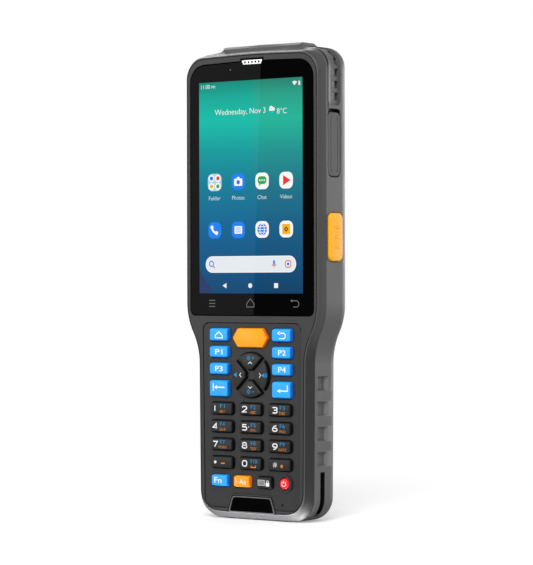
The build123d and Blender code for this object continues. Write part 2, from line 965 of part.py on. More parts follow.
def strap_groove():
    """The narrow groove for a wrist strap, round the lower corner."""
    skin = side_outline() - side_outline(strap_depth)
    corner = Rectangle(foot_half_width, strap_top - strap_bottom, align=(Align.MIN, Align.MIN))
    return slab(skin & Pos(strap_inner_end, strap_bottom) * corner, strap_front, strap_back)


def speaker_slots():
    """The sound slots of the loudspeaker in the back wall."""
    cuts = []
    for number in range(speaker_slot_count):
        across = speaker_place[0] + (number - (speaker_slot_count - 1) / 2) * speaker_slot_pitch
        slot = Pos(across, speaker_place[1]) * SlotCenterToCenter(
            speaker_slot_length - speaker_slot_width, speaker_slot_width, rotation=90)
        cuts.append(slab(slot, cavity_back - 1, body_depth + 1))
    return cuts


def latch_outline(grow=0.0, travel=0.0):
    """The latch in its pocket, or the pocket with room for its travel."""
    low = latch_bottom - grow
    high = latch_bottom + latch_height + travel + grow
    return Pos(0, (low + high) / 2) * RectangleRounded(
        2 * (latch_half_width + grow), high - low, latch_corner + grow
    )


def rail_outline(grow=0.0, travel=0.0):
    """The latch's two side rails in front view, or the grooves they run in."""
    low = latch_bottom + latch_rail_inset - grow
    high = latch_bottom + latch_height - latch_rail_inset + travel + grow
    half = latch_half_width + latch_rail + grow
    return Pos(0, (low + high) / 2) * Rectangle(2 * half, high - low)


def rear_housing():
    """The rear shell: walls, hood, battery bay, screw posts, and every opening in it."""
    outer = tub(0, brow_height, body_depth, bevel_radius) - hood_ledges() + hood()
    hollow = tub(wall, brow_height - wall, cavity_back, bevel_radius - wall)
    for place in screw_places():
        hollow -= peg(place, screw_boss, parting_depth - 1, body_depth)
    hollow -= slab(pack_outline(pack_gap + bay_wall), floor_front, body_depth)
    hollow -= slab(latch_outline(latch_gap + latch_rail + latch_skirt, latch_travel),
                   latch_front - latch_gap - latch_skirt, body_depth)
    hollow -= block(cover_floor - port_pad, head_half_width, parting_depth - 1,
                    cover_back + 1.2, cover_bottom - 1, cover_top + 2)
    shell = outer - hollow
    shell -= slab(parting_outline(gasket_inset) - parting_outline(gasket_inset + gasket_width),
                  parting_depth - 1, parting_depth + gasket_depth)
    for place in screw_places():
        shell -= peg(place, screw_radius + screw_clearance, parting_depth - 1, screw_seat_depth + 1)
        shell -= peg(place, screw_head_radius + screw_clearance, screw_seat_depth, body_depth + 1)
    shell -= slab(pack_outline(pack_gap), floor_back, body_depth + 1)
    shell -= pack_tabs(pack_gap)
    shell -= spring_contact(spring_contact_gap)
    shell -= slab(latch_outline(latch_gap, latch_travel), latch_front - latch_gap, body_depth + 1)
    shell -= slab(rail_outline(latch_gap, latch_travel), rail_front - latch_gap,
                  rail_back + latch_gap)
    shell -= tongue_block(latch_gap, latch_travel)
    shell -= scan_window_cut()
    shell -= peg(camera_place, camera_radius + inner_gap, cavity_back - 1, body_depth + 1)
    shell -= peg(flash_place, flash_radius + lens_gap, cavity_back - 1, body_depth + 1)
    shell -= speaker_slots()
    shell -= [slab(pad, body_depth - charge_thickness, body_depth + 1) for pad in charge_pads()]
    for cut in [vent_channel(), strap_groove()] + vent_slots():
        shell -= both_sides(cut)
    for number in range(grip_count):
        low = grip_first - grip_length / 2 + number * grip_pitch
        shell -= both_sides(grip_recess(low))
    shell -= both_sides(side_slab(trigger_sketch(trigger_gap), head_half_width - wall - 1,
                                  head_half_width + 1))
    shell -= side_slab(cover_sketch(cover_gap, finger_gap), cover_floor, head_half_width + 1)
    shell -= port_body(port_gap)
    shell -= tether_body()
    return shell


def spring_contact(grow=0.0):
    """The battery contact block, or the hole for it in the bay floor."""
    return block(-spring_contact_half - grow, spring_contact_half + grow,
                 main_back + touch_gap, pack_front - touch_gap, spring_contact_low - grow,
                 spring_contact_low + spring_contact_height + grow)


def tongue_block(grow=0.0, travel=0.0):
    """The latch's tongue, or the slot that it slides in."""
    return block(-tongue_half_width - grow, tongue_half_width + grow, rail_front - grow,
                 rail_back + grow, pack_top - tongue_reach - grow,
                 latch_bottom + latch_rail_inset + travel)


def window_outline(grow=0.0):
    """The scan window seen from above."""
    middle = y_at((window_front + window_back) / 2)
    size = (2 * (window_half_width + grow), window_back - window_front + 2 * grow)
    return Pos(0, middle) * RectangleRounded(*size, window_corner + grow)


def scan_window_cut():
    """The stepped opening through the hood's top for the scan window."""
    seat = hood_top - window_sink - window_thickness
    recess = Pos(0, 0, seat) * extrude(window_outline(lens_gap), amount=10)
    through = Pos(0, 0, body_top - wall - 1) * extrude(window_outline(-window_ledge), amount=10)
    return recess + through


def scan_window():
    """The dark window in the hood."""
    seat = hood_top - window_sink - window_thickness
    pane = Pos(0, 0, seat) * extrude(window_outline(), amount=window_thickness)
    return chamfer(pane.faces().sort_by(Axis.Z)[-1].edges(), window_chamfer)


def charge_pads():
    """The row of charging pads on the lower back, seen from the front."""
    pads = []
    for number in range(charge_count):
        across = (number - (charge_count - 1) / 2) * charge_pitch
        pads.append(Pos(across, charge_row) * RectangleRounded(charge_width, charge_height,
                                                               charge_corner))
    return pads


def port_body(grow=0.0):
    """The outside of the USB socket, or the hole for it."""
    front = main_back + touch_gap - grow
    low = port_centre - port_height / 2 - grow
    body = block(cover_floor - port_length, cover_floor + grow, front,
                 front + port_width + 2 * grow, low, low + port_height + 2 * grow)
    return fillet(body.edges().filter_by(Axis.X), port_corner)


def tether_body():
    """The rubber foot that anchors the port cover's hinge in the housing wall."""
    middle = (cover_front + cover_back) / 2
    low = hinge_z + tether_rise
    half = tether_width / 2
    neck_back = cover_floor - port_pad / 2
    neck = block(neck_back, cover_floor, middle - half, middle + half, low, low + tether_height)
    head = block(cover_floor - port_pad, neck_back, middle - half - tether_lip,
                 middle + half + tether_lip, low, low + tether_height)
    return neck + head


# ---- pieces inside the rear housing ----

def housing_gasket():
    """The sealing ring in its groove between the housings."""
    ring = parting_outline(gasket_inset) - parting_outline(gasket_inset + gasket_width)
    return slab(ring, parting_depth, parting_depth + gasket_depth)


def housing_screws():
    """The six pan-head screws, each with a recess for its driver."""
    screws = []
    for place in screw_places():
        front = parting_depth - screw_bite
        shank = peg(place, screw_radius - touch_gap, front, screw_seat_depth)
        back = screw_seat_depth + screw_head_height
        head = peg(place, screw_head_radius, screw_seat_depth, back)
        head = chamfer(head.faces().sort_by(Axis.Y)[-1].edges(), screw_chamfer)
        head -= slab(Pos(*place) * RegularPolygon(screw_socket_radius, 6),
                     back - screw_socket_depth, back + 1)
        screws.append(shank + head)
    return screws


def chassis_frame():
    """The metal frame behind the display: plate, rim, lightening holes, board standoffs."""
    middle = (frame_bottom + frame_top) / 2
    sheet = Pos(0, middle) * RectangleRounded(2 * frame_half_width, frame_top - frame_bottom, 2)
    plate = slab(sheet, frame_front, frame_back)
    pocket = RectangleRounded(frame_pocket_width, frame_pocket_height, 3)
    for column in range(-1, 2):
        for row in range(4):
            height = frame_bottom + frame_pocket_first + row * frame_pocket_rise
            plate -= slab(Pos(column * frame_pocket_pitch, height) * pocket, 0, body_depth)
    for across in (frame_pocket_pitch / 2, frame_pocket_pitch * 1.5):
        for height in (main_bottom + standoff_low, middle, main_top - standoff_high):
            plate += peg((across, height), standoff_radius, frame_back, main_front)
            plate += peg((-across, height), standoff_radius, frame_back, main_front)
    for place in screw_places():
        plate -= peg(place, screw_boss + inner_gap, 0, body_depth)
    return plate


def main_board():
    """The main circuit board with its shield cans and the display connector."""
    middle = (main_bottom + main_top) / 2
    sheet = Pos(0, middle) * RectangleRounded(2 * main_half_width, main_top - main_bottom, 1.5)
    board = slab(sheet, main_front, main_back)
    across, rise = can_lower_place
    cans = [(across, main_bottom + rise, can_lower_size), (-across, main_bottom + rise, can_lower_size),
            (0, main_top - can_upper_drop, can_upper_size)]
    for across, height, size in cans:
        can = Pos(across, height) * RectangleRounded(*size, 1.0)
        board += slab(can, main_back, main_back + can_thickness)
    for place in screw_places():
        board -= peg(place, screw_boss + inner_gap, 0, body_depth)
    return board


def scan_engine():
    """The barcode engine: body with two lens barrels that look up through the window."""
    front = main_back + touch_gap
    shoulder = engine_top - engine_barrel
    body = block(-engine_half_width, engine_half_width, front, engine_back, engine_bottom, shoulder)
    body = chamfer(body.edges().filter_by(Axis.Z), 1.0)
    middle = y_at((front + engine_back) / 2)
    upright = (Align.CENTER, Align.CENTER, Align.MIN)
    for across, radius in ((emitter_place, emitter_radius), (reader_place, reader_radius)):
        body += Pos(across, middle, shoulder) * Cylinder(radius, engine_barrel, align=upright)
        lens = Cylinder(radius * engine_lens_share, engine_barrel, align=upright)
        body -= Pos(across, middle, engine_top - engine_lens_sink) * lens
    return body


def trigger():
    """The right scan trigger: crowned cap through the wall, flange inside, three ridges."""
    face = head_half_width + trigger_proud
    cap = side_slab(trigger_sketch(), inner_half_width - inner_gap, face)
    cap = fillet(cap.faces().sort_by(Axis.X)[-1].edges(), trigger_crown)
    piece = cap + side_slab(trigger_sketch(flange_lip), trigger_flange_front, trigger_flange_back)
    depth = (trigger_front + trigger_back) / 2 + trigger_ridge_shift
    middle = (trigger_bottom + trigger_top) / 2
    for step in (-1, 0, 1):
        ridge = Pos(depth, middle + step * trigger_ridge_pitch) * SlotOverall(
            trigger_ridge_width, trigger_ridge_height)
        piece += side_slab(ridge, face - trigger_ridge_proud, face + trigger_ridge_proud)
    return piece


def side_switches():
    """The two switches on the board behind the triggers."""
    press = trigger_flange_front - trigger_travel - touch_gap
    middle = (trigger_bottom + trigger_top) / 2
    switch = block(press - switch_width, press, main_back + touch_gap,
                   main_back + touch_gap + switch_thickness, middle - switch_half_height,
                   middle + switch_half_height)
    return both_sides(chamfer(switch.edges().filter_by(Axis.Y), 0.5))


def port_cover():
    """The rubber cover over the socket, with a raised frame and rounded edges."""
    inner = head_half_width - cover_thickness
    lid = side_slab(cover_sketch(), inner, head_half_width)
    lid = fillet(lid.faces().sort_by(Axis.X)[-1].edges(), cover_edge)
    groove = cover_sketch(-cover_line_inset) - cover_sketch(-cover_line_inset - cover_line_width)
    gap = Pos((cover_front + cover_back) / 2, (cover_bottom + cover_top) / 2) * Rectangle(
        cover_line_break, cover_top - cover_bottom)
    return lid - side_slab(groove - gap, head_half_width - cover_line_depth, head_half_width + 1)


def usb_port():
    """The metal shell of the USB socket with its contact tongue."""
    shell = port_body()
    front = main_back + touch_gap
    low = port_centre - port_height / 2
    mouth = block(cover_floor - port_length + port_back_wall, cover_floor + 1, front + port_wall,
                  front + port_width - port_wall, low + port_wall, low + port_height - port_wall)
    mouth = fillet(mouth.edges().filter_by(Axis.X), port_corner - port_wall)
    middle = front + port_width / 2
    tongue = block(cover_floor - port_length + port_back_wall / 2, cover_floor - port_tongue_setback,
                   middle - port_tongue / 2, middle + port_tongue / 2, low + port_tongue_margin,
                   low + port_height - port_tongue_margin)
    return shell - mouth + tongue


def battery_pack():
    """The removable pack: its proud outer face is part of the back."""
    pack = slab(pack_outline(), pack_front, back_reach)
    pack = chamfer(pack.faces().sort_by(Axis.Y)[-1].edges(), pack_chamfer)
    pack += pack_tabs()
    notch = block(-tongue_half_width - latch_gap, tongue_half_width + latch_gap,
                  rail_front - latch_gap, rail_back + latch_gap,
                  pack_top - tongue_reach - latch_gap, pack_top + 1)
    return pack - notch


def battery_latch():
    """The sliding latch: plate with thumb ridges, side rails and the tongue."""
    latch = slab(latch_outline(), latch_front, body_depth)
    latch += slab(rail_outline(), rail_front, rail_back)
    latch += tongue_block()
    middle = latch_bottom + latch_height / 2
    for step in (-1, 0, 1):
        ridge = Pos(0, middle + step * ridge_pitch) * SlotOverall(ridge_width, ridge_thickness)
        latch += slab(ridge, body_depth - ridge_height, body_depth + ridge_height)
    return latch


def battery_contacts():
    """The spring contact block that reaches the pack through the bay floor."""
    piece = spring_contact()
    low = spring_contact_low + spring_blade_margin
    high = spring_contact_low + spring_contact_height - spring_blade_margin
    for number in range(spring_blade_count):
        left = (number - (spring_blade_count - 1) / 2) * spring_blade_pitch - spring_blade_width / 2
        piece -= block(left, left + spring_blade_width, floor_back - spring_blade_depth,
                       pack_front, low, high)
    return piece


def rear_camera():
    """The camera module: body, lens ring in the back wall and its sunk lens."""
    square = Pos(*camera_place) * RectangleRounded(camera_body_size, camera_body_size, 1.0)
    body = slab(square, camera_body_front, cavity_back - touch_gap)
    ring = peg(camera_place, camera_radius, cavity_back - 1, body_depth - camera_sink)
    return body + ring - peg(camera_place, camera_radius - camera_ring,
                             body_depth - camera_lens_sink, body_depth)


def camera_flash():
    """The flash lamp beside the camera."""
    lamp = peg(flash_place, flash_radius, cavity_back - 1, body_depth - camera_sink)
    foot = Pos(*flash_place) * Rectangle(flash_foot, flash_foot)
    return lamp + slab(foot, cavity_back - flash_foot_thickness, cavity_back - touch_gap)


def loudspeaker():
    """The loudspeaker against the back wall, with its cone sunk in its frame."""
    back = cavity_back - touch_gap
    spot = Pos(*speaker_place)
    box = slab(spot * RectangleRounded(speaker_width, speaker_height, 1.5),
               back - speaker_thickness, back)
    cone = slab(spot * RectangleRounded(speaker_width - 2 * speaker_rim,
                                        speaker_height - 2 * speaker_rim, 2.5),
                back - speaker_cone_depth, back + 1)
    return box - cone


def vibration_motor():
    """The coin motor on the main board."""
    front = main_back + touch_gap
    coin = peg(motor_place, motor_radius, front, front + motor_thickness)
    return chamfer(coin.faces().sort_by(Axis.Y)[-1].edges(), motor_chamfer)


def charging_contacts():
    """The five gold charging pads on the lower back."""
    return [slab(pad, body_depth - charge_thickness, body_depth - charge_sink)
            for pad in charge_pads()]


def all_pieces():
    """Every node's name with its shape."""
    keys = key_outlines()
    right_trigger, left_trigger = both_sides(trigger())
    pieces = {
        "front_housing": front_housing(keys),
        "rear_housing": rear_housing(),
        "housing_gasket": housing_gasket(),
        "housing_screws": housing_screws(),
        "touch_glass": touch_glass(),
        "display_module": display_module(),
        "chassis_frame": chassis_frame(),
        "earpiece_grille": earpiece_grille(),
        "earpiece_receiver": earpiece_receiver(),
        "front_camera": front_camera(),
        "keypad_panel": keypad_panel(keys),
        "key_membrane": key_membrane(keys),
        "keypad_board": keypad_board(),
        "name_plate": name_plate(),
        "scan_window": scan_window(),
        "scan_engine": scan_engine(),
        "main_board": main_board(),
        "trigger_right": right_trigger,
        "trigger_left": left_trigger,
        "side_switches": side_switches(),
        "port_cover": port_cover(),
        "cover_tether": tether_body(),
        "usb_port": usb_port(),
        "battery_pack": battery_pack(),
        "battery_latch": battery_latch(),
        "battery_contacts": battery_contacts(),
        "rear_camera": rear_camera(),
        "camera_flash": camera_flash(),
        "loudspeaker": loudspeaker(),
        "vibration_motor": vibration_motor(),
        "charging_contacts": charging_contacts(),
    }
    for name, outlines in keys.items():
        pieces[name] = key_solid(*outlines)
    return pieces


def main():
    os.makedirs("parts", exist_ok=True)
    for name, shape in all_pieces().items():
        if isinstance(shape, list):
            shape = Compound(children=[solid for part in shape for solid in part.solids()])
        export_step(shape, "parts/" + name + ".step")


main()
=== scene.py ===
# %% [markdown]
# # Portable data terminal
# This lesson dresses a finished CAD model of a hand-held terminal in Blender. The CAD nodes give the
# right shapes in the right places, and they stay where they are. Each step adds what only a render
# needs: a camera, light, finishes, the picture on the display and the print on the keys.

import json
import math

import bmesh
import bpy
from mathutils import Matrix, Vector


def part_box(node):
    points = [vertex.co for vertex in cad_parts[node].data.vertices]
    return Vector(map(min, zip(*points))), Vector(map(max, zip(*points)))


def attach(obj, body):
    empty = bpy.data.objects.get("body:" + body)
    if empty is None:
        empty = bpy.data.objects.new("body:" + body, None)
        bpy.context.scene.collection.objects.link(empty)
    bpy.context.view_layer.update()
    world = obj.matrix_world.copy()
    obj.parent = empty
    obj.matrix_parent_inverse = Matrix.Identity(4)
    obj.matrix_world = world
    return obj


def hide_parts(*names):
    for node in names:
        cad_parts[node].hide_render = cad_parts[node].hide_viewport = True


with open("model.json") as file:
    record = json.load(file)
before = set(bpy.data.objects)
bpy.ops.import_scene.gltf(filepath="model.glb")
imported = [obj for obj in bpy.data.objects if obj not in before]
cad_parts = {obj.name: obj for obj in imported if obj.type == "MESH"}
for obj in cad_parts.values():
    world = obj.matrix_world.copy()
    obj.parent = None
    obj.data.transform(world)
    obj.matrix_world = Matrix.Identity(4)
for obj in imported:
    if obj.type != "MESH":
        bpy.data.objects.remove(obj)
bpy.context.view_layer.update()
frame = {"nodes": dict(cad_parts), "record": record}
nodes = frame["nodes"]
mm = 0.001

# %% [markdown]
# ## Camera
# A product portrait is taken from far away with a long lens, because then upright edges stay upright
# and the near side doesn't swell. The camera is level with the middle of the terminal and stands
# about 36 degrees round to its right, so the front and the right side both show. It is slid a little
# sideways, which brings the terminal to the middle of the picture. Its distance counts from the rim,
# the frontmost plane of the housing.

# %% Camera
picture_width = 533
picture_height = 565
sensor = 36.0
focal_pixels = 2475.0
camera_turn = math.radians(36.5)
camera_roll = math.radians(0.126)
camera_distance = 1002 * mm
camera_height = 96.4 * mm
camera_slide = 6.28 * mm
rim_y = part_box("front_housing")[0].y

ahead = Vector((-math.sin(camera_turn), math.cos(camera_turn), 0))
aside = Vector((math.cos(camera_turn), math.sin(camera_turn), 0))
camera_data = bpy.data.cameras.new("camera")
camera_data.sensor_width = sensor
camera_data.lens = sensor * focal_pixels / max(picture_width, picture_height)
camera_data.clip_start = 0.05
camera_data.clip_end = 20
camera = bpy.data.objects.new("camera", camera_data)
camera.location = Vector((0, rim_y, camera_height)) - ahead * camera_distance + aside * camera_slide
camera.rotation_euler = (math.pi / 2, camera_roll, camera_turn)
bpy.context.scene.collection.objects.link(camera)
bpy.context.scene.camera = camera
bpy.context.scene.view_settings.view_transform = "Standard"
print("lens", round(camera_data.lens, 1), "mm, at", [round(x, 3) for x in camera.location])

# %% [markdown]
# ## Writing shader maths as plain arithmetic
# A finish is a small network of nodes. Wiring nodes by hand makes long scripts, so one class wraps a
# socket: plus, minus and times between two of them add the Math node that does it, and `node` adds any
# other kind. Settings such as an operation or a ramp's stops are set before the inputs are joined.
# Colours go through a Mix node, because a Math node would turn them grey. That node has sockets for
# several kinds of data under the same names, so its colour sockets are picked by number.

# %% The Shade class
mix_share, mix_first, mix_second = 0, 6, 7
mix_result = 2


class Shade:
    """One socket of a material's tree."""

    def __init__(self, tree, socket=None):
        self.tree = tree
        self.socket = socket

    def node(self, kind, settings=None, inputs=None, output=0):
        """Adds a node, sets it up, joins or fills its inputs, and returns one of its outputs."""
        made = self.tree.nodes.new("ShaderNode" + kind)
        for name, value in (settings or {}).items():
            if name == "stops":
                fill_ramp(made.color_ramp, value)
            else:
                setattr(made, name, value)
        for name, value in (inputs or {}).items():
            if isinstance(value, Shade):
                self.tree.links.new(value.socket, made.inputs[name])
            else:
                made.inputs[name].default_value = value
        return Shade(self.tree, made.outputs[output] if made.outputs else None)

    def maths(self, operation, first, second):
        """What a Math node makes of two values."""
        return self.node("Math", {"operation": operation}, {0: first, 1: second})

    def __add__(self, other):
        return self.maths("ADD", self, other)

    def __radd__(self, other):
        return self.maths("ADD", other, self)

    def __sub__(self, other):
        return self.maths("SUBTRACT", self, other)

    def __rsub__(self, other):
        return self.maths("SUBTRACT", other, self)

    def __mul__(self, other):
        return self.maths("MULTIPLY", self, other)

    def __rmul__(self, other):
        return self.maths("MULTIPLY", other, self)

    def mix(self, first, second):
        """One colour turning into another where this value is 1."""
        return self.node("Mix", {"data_type": "RGBA"},
                         {mix_share: self, mix_first: first, mix_second: second}, mix_result)


def fill_ramp(ramp, stops):
    """Gives a colour ramp its stops: pairs of a place and a colour."""
    while len(ramp.elements) < len(stops):
        ramp.elements.new(1.0)
    for element, (place, colour) in zip(ramp.elements, stops):
        element.position = place
        element.color = colour


def linear(red, green, blue):
    """A screen colour, 0 to 255, as the linear colour that shaders take."""
    def channel(value):
        share = value / 255
        return share / 12.92 if share <= 0.04045 else ((share + 0.055) / 1.055) ** 2.4
    return (channel(red), channel(green), channel(blue), 1.0)


finishes = {}


def new_finish(name, paint):
    """A material whose surface is what paint makes on an empty tree, kept under its name."""
    material = bpy.data.materials.new(name)
    finishes[name] = material
    material.use_nodes = True
    tree = material.node_tree
    tree.nodes.clear()
    start = Shade(tree)
    start.node("OutputMaterial", inputs={"Surface": paint(start)})
    return material


print("mid grey is", round(linear(128, 128, 128)[0], 3))

# %% [markdown]
# ## Moulded plastic
# The housings are moulded with a fine spark texture: tiny rounded pits less than a fifth of a
# millimetre apart, which break up a reflection. A noise texture at that scale bends the normal, and a
# broader one moves the roughness and the tone by a few percent, as real mouldings never have exactly
# one grey. No moulded edge is sharp, so a Bevel node rounds the normals near every edge before the
# pits are added: light catches the edges, and the mesh stays as it is.

# %% The moulded finish
edge_radius = 0.3 * mm
pit_spacing = 0.16 * mm
patch_spread = 0.12


def place_on(start):
    """Where a point lies in its piece's own frame, in metres."""
    return start.node("TexCoord", output="Object")


def moulded(name, colour, roughness=0.45, depth=0.006 * mm, tone=0.05, gloss=0.2, marks=()):
    """Textured plastic of one colour; each mark is a mask and the colour laid on where it is 1."""
    def paint(start):
        place = place_on(start)
        pits = start.node("TexNoise", inputs={"Vector": place, "Scale": 1 / pit_spacing, "Detail": 2.0})
        patches = start.node("TexNoise", inputs={"Vector": place, "Scale": 55.0, "Detail": 3.0})
        dark = tuple(c * (1 - tone) for c in colour[:3]) + (1.0,)
        light = tuple(min(1.0, c * (1 + tone)) for c in colour[:3]) + (1.0,)
        base = patches.mix(dark, light)
        for mask, laid in marks:
            base = mask(start).mix(base, laid)
        soft = start.node("Bevel", {"samples": 4}, {"Radius": edge_radius})
        bump = start.node("Bump", inputs={"Strength": 0.6, "Distance": depth, "Height": pits,
                                          "Normal": soft})
        return start.node("BsdfPrincipled", inputs={
            "Base Color": base,
            "Roughness": patches * patch_spread + (roughness - patch_spread / 2),
            "Specular IOR Level": gloss,
            "Normal": bump,
        })
    return new_finish(name, paint)


print("pits", round(pit_spacing / mm, 2), "mm apart, edges rounded by", round(edge_radius / mm, 2), "mm")

# %% [markdown]
# ## Painted light and shade by direction
# A moulding gets painted light and shade here. The walls of a key that look right or down get a
# painted shade, darker than its face. So does the rounded side of the front housing beside the keypad,
# while the same side beside the glass gets a painted light and is paler. A mask is a value that is 1
# where a second colour is laid on and 0 elsewhere. Painting it by hand would need an image, so it is
# worked out from the way a face looks and from its height.

# %% Painted light and shade by direction
wall_turn = (0.3, 0.75)
wall_down = 0.7
pale_turn = (0.1, 1.0)
dark_turn = (0.05, 0.3)
keypad_end, glass_start = 65 * mm, 76 * mm


def parts_of(vector):
    """The X, Y and Z of a vector."""
    split = vector.node("SeparateXYZ", inputs={"Vector": vector}).socket.node
    return [Shade(vector.tree, socket) for socket in split.outputs]


def turned(start, turn, down=0.0):
    """Rises from 0 to 1 as a face turns to the right, or down where down is above 0."""
    low, high = turn
    right, _, up = parts_of(start.node("TexCoord", output="Normal"))
    side = start.maths("MAXIMUM", right, up * -down)
    return start.node("MapRange", inputs={"Value": side, "From Min": low, "From Max": high})


def key_wall_shade(start):
    """The walls of a key that look to the right or down, which get a painted shade."""
    return turned(start, wall_turn, wall_down)


def beside_glass(start):
    """Rises from 0 at the keypad to 1 at the glass."""
    height = parts_of(place_on(start))[2]
    return start.node("MapRange", inputs={"Value": height, "From Min": keypad_end,
                                          "From Max": glass_start})


def painted_light_side(start):
    """The rounded side of the front housing beside the glass, which gets a painted light."""
    return turned(start, pale_turn) * beside_glass(start)


def painted_shade_side(start):
    """The same side beside the keypad, which gets a painted shade."""
    return turned(start, dark_turn) * (1.0 - beside_glass(start))


print("front housing pales from", round(keypad_end / mm), "to", round(glass_start / mm), "mm")

# %% [markdown]
# ## Painted shade and highlight by place
# Narrow grooves get almost no light, so the strap grooves, the louvre slots and the finger gap over the
# port cover get a painted shade of near black. The ramp inside each grip recess and the small chamfer
# round the front catch more light than the texture beside them, so they get a painted highlight, a
# paler grey. Each lies in a block of space, the same on both sides, so the distances from the middle,
# the front and the foot pick it out.

# %% Painted shade and highlight by place
chamfer_depth = (0.02, 0.35)
grip_across, grip_depth, grip_height = (24.0, 28.45), (12.2, 16.4), (22.0, 60.0)
grip_start = 22.4
grip_pitch = 10.1
ramp_length = (0.0, 6.2)
strap_groove = ((24.4, 40.0), (8.45, 11.55), (-1.0, 20.2))
finger_gap = ((31.8, 40.0), (5.6, 14.2), (164.5, 165.9))
head_groove = ((26.3, 40.0), (5.2, 6.3), (166.0, 192.0))
shoulder_across, shoulder_height = 26.3, 183.0
slot_reach, slot_depth, slot_height = (5.6, 7.1), (12.3, 13.3), (167.0, 193.0)


def place_in(start):
    """How far a point lies from the middle, from the front and from the foot, in metres."""
    across, deep, height = parts_of(place_on(start))
    return start.node("Math", {"operation": "ABSOLUTE"}, {0: across}), deep - rim_y, height


def between(value, limits):
    """1 where a value lies between two lengths in mm, else 0."""
    low, high = limits
    return value.node("Math", {"operation": "COMPARE"},
                      {0: value, 1: (low + high) / 2 * mm, 2: (high - low) / 2 * mm})


def in_block(start, block):
    """1 inside a block given by its limits across, in depth and in height."""
    across, depth, height = (between(value, limits) for value, limits in zip(place_in(start), block))
    return across * depth * height


def either(first, second):
    """1 where one of two masks is 1."""
    return first.maths("MAXIMUM", first, second)


def chamfer_highlight(start):
    """The small chamfer round the front, which gets a painted highlight."""
    return between(place_in(start)[1], chamfer_depth)


def grip_ramp_highlight(start):
    """The back ramp inside each grip recess, one every grip_pitch, which gets a painted highlight."""
    along = start.maths("MODULO", place_in(start)[2] - grip_start * mm, grip_pitch * mm)
    return in_block(start, (grip_across, grip_depth, grip_height)) * between(along, ramp_length)


def louvre_slots(start):
    """The slots that run up the side of the head and bend with its shoulder."""
    across, depth, height = place_in(start)
    out = across - shoulder_across * mm
    up = start.maths("MAXIMUM", height - shoulder_height * mm, 0.0)
    reach = start.maths("POWER", out * out + up * up, 0.5)
    return between(reach, slot_reach) * between(depth, slot_depth) * between(height, slot_height)


def recess_shade(start):
    """1 inside every groove, slot and gap, which gets a painted shade of near black."""
    lower = either(in_block(start, strap_groove), in_block(start, finger_gap))
    upper = either(louvre_slots(start), in_block(start, head_groove))
    return either(lower, upper)


print("ramp pitch", grip_pitch, "mm, slots", slot_reach, "mm from the shoulder's centre")

# %% [markdown]
# ## The plastics and rubbers
# Each finish is named after the material slot of the record that it fills, apart from the last three,
# which are for drawn lines and gaps of painted shade and for a painted highlight. Keys are smoother than
# the housings, so their pits are shallower and their reflections clearer.

# %% Plastic finishes
# The front shell gets a painted light on its side beside the glass, a painted shade on the same side
# beside the keypad, and a painted highlight on the chamfer round the front.
moulded("front_shell", linear(49, 49, 50), roughness=0.42,
        marks=((painted_light_side, linear(68, 68, 69)), (painted_shade_side, linear(41, 41, 42)),
               (chamfer_highlight, linear(74, 74, 75))))
# The rear shell gets a painted shade in its grooves, slots and finger gap, and a painted highlight on the
# ramps of its grip recesses.
moulded("rear_shell", linear(82, 82, 83), roughness=0.46,
        marks=((recess_shade, linear(12, 12, 12)), (grip_ramp_highlight, linear(108, 108, 109))))
moulded("panel_shell", linear(40, 40, 41), roughness=0.38, depth=0.004 * mm)
moulded("pack_shell", linear(74, 74, 75), roughness=0.5, depth=0.01 * mm)
moulded("latch_black", linear(38, 38, 39), roughness=0.35)
# The darker colour laid on the walls of each key is a painted shade.
moulded("key_blue", linear(40, 162, 255), roughness=0.32, depth=0.002 * mm, tone=0.03,
        marks=((key_wall_shade, linear(22, 104, 204)),))
moulded("key_orange", linear(255, 158, 22), roughness=0.32, depth=0.002 * mm, tone=0.03,
        marks=((key_wall_shade, linear(228, 112, 16)),))
moulded("key_black", linear(32, 32, 33), roughness=0.36, depth=0.003 * mm,
        marks=((key_wall_shade, linear(10, 10, 10)),))
moulded("key_red", linear(226, 40, 46), roughness=0.3, depth=0.002 * mm, tone=0.03)
moulded("trigger_orange", linear(255, 172, 20), roughness=0.36, tone=0.03)
moulded("cover_rubber", linear(82, 82, 83), roughness=0.6, depth=0.004 * mm)
moulded("black_rubber", linear(30, 30, 30), roughness=0.7, gloss=0.3)
moulded("circuit_green", linear(24, 92, 58), roughness=0.35)
moulded("grille_white", linear(255, 255, 255), roughness=0.4, depth=0.001 * mm, tone=0.02)
inner_black = moulded("inner_black", linear(26, 26, 27), roughness=0.55)
# The last three are painted: a dark line of shade at the housing's edge, a grey highlight round the name
# plate, and the near-black shade of gaps and holes.
edge_grey = moulded("edge_grey", linear(20, 20, 21), roughness=0.42, gloss=0.1)
rim_grey = moulded("rim_grey", linear(92, 92, 93), roughness=0.35)
gap_black = moulded("gap_black", linear(6, 6, 6), roughness=0.7, gloss=0.0)
print("plastic finishes", len(finishes))

# %% [markdown]
# ## Glass, lenses and metal
# The touch glass is black behind its print, and an anti-reflection coat lets only a trace of the room
# show in it, so its specular level is far below that of bare glass. Lenses keep more of their shine.
# The screws and the socket are metal with fine brushing, made by noise stretched along one axis.

# %% Glass and metal finishes
coated_black = (0.0006, 0.0006, 0.0007, 1.0)
coated_gloss = 0.014
brush_stretch = (400.0, 6000.0, 6000.0)
brush_spread = 0.2


def polished(name, colour, specular, roughness=0.03, film_spread=0.02):
    """A smooth surface with a faint finger film in its gloss."""
    def paint(start):
        film = start.node("TexNoise", inputs={"Vector": place_on(start), "Scale": 90.0, "Detail": 4.0})
        return start.node("BsdfPrincipled", inputs={
            "Base Color": colour,
            "Roughness": film * film_spread + roughness,
            "Specular IOR Level": specular,
        })
    return new_finish(name, paint)


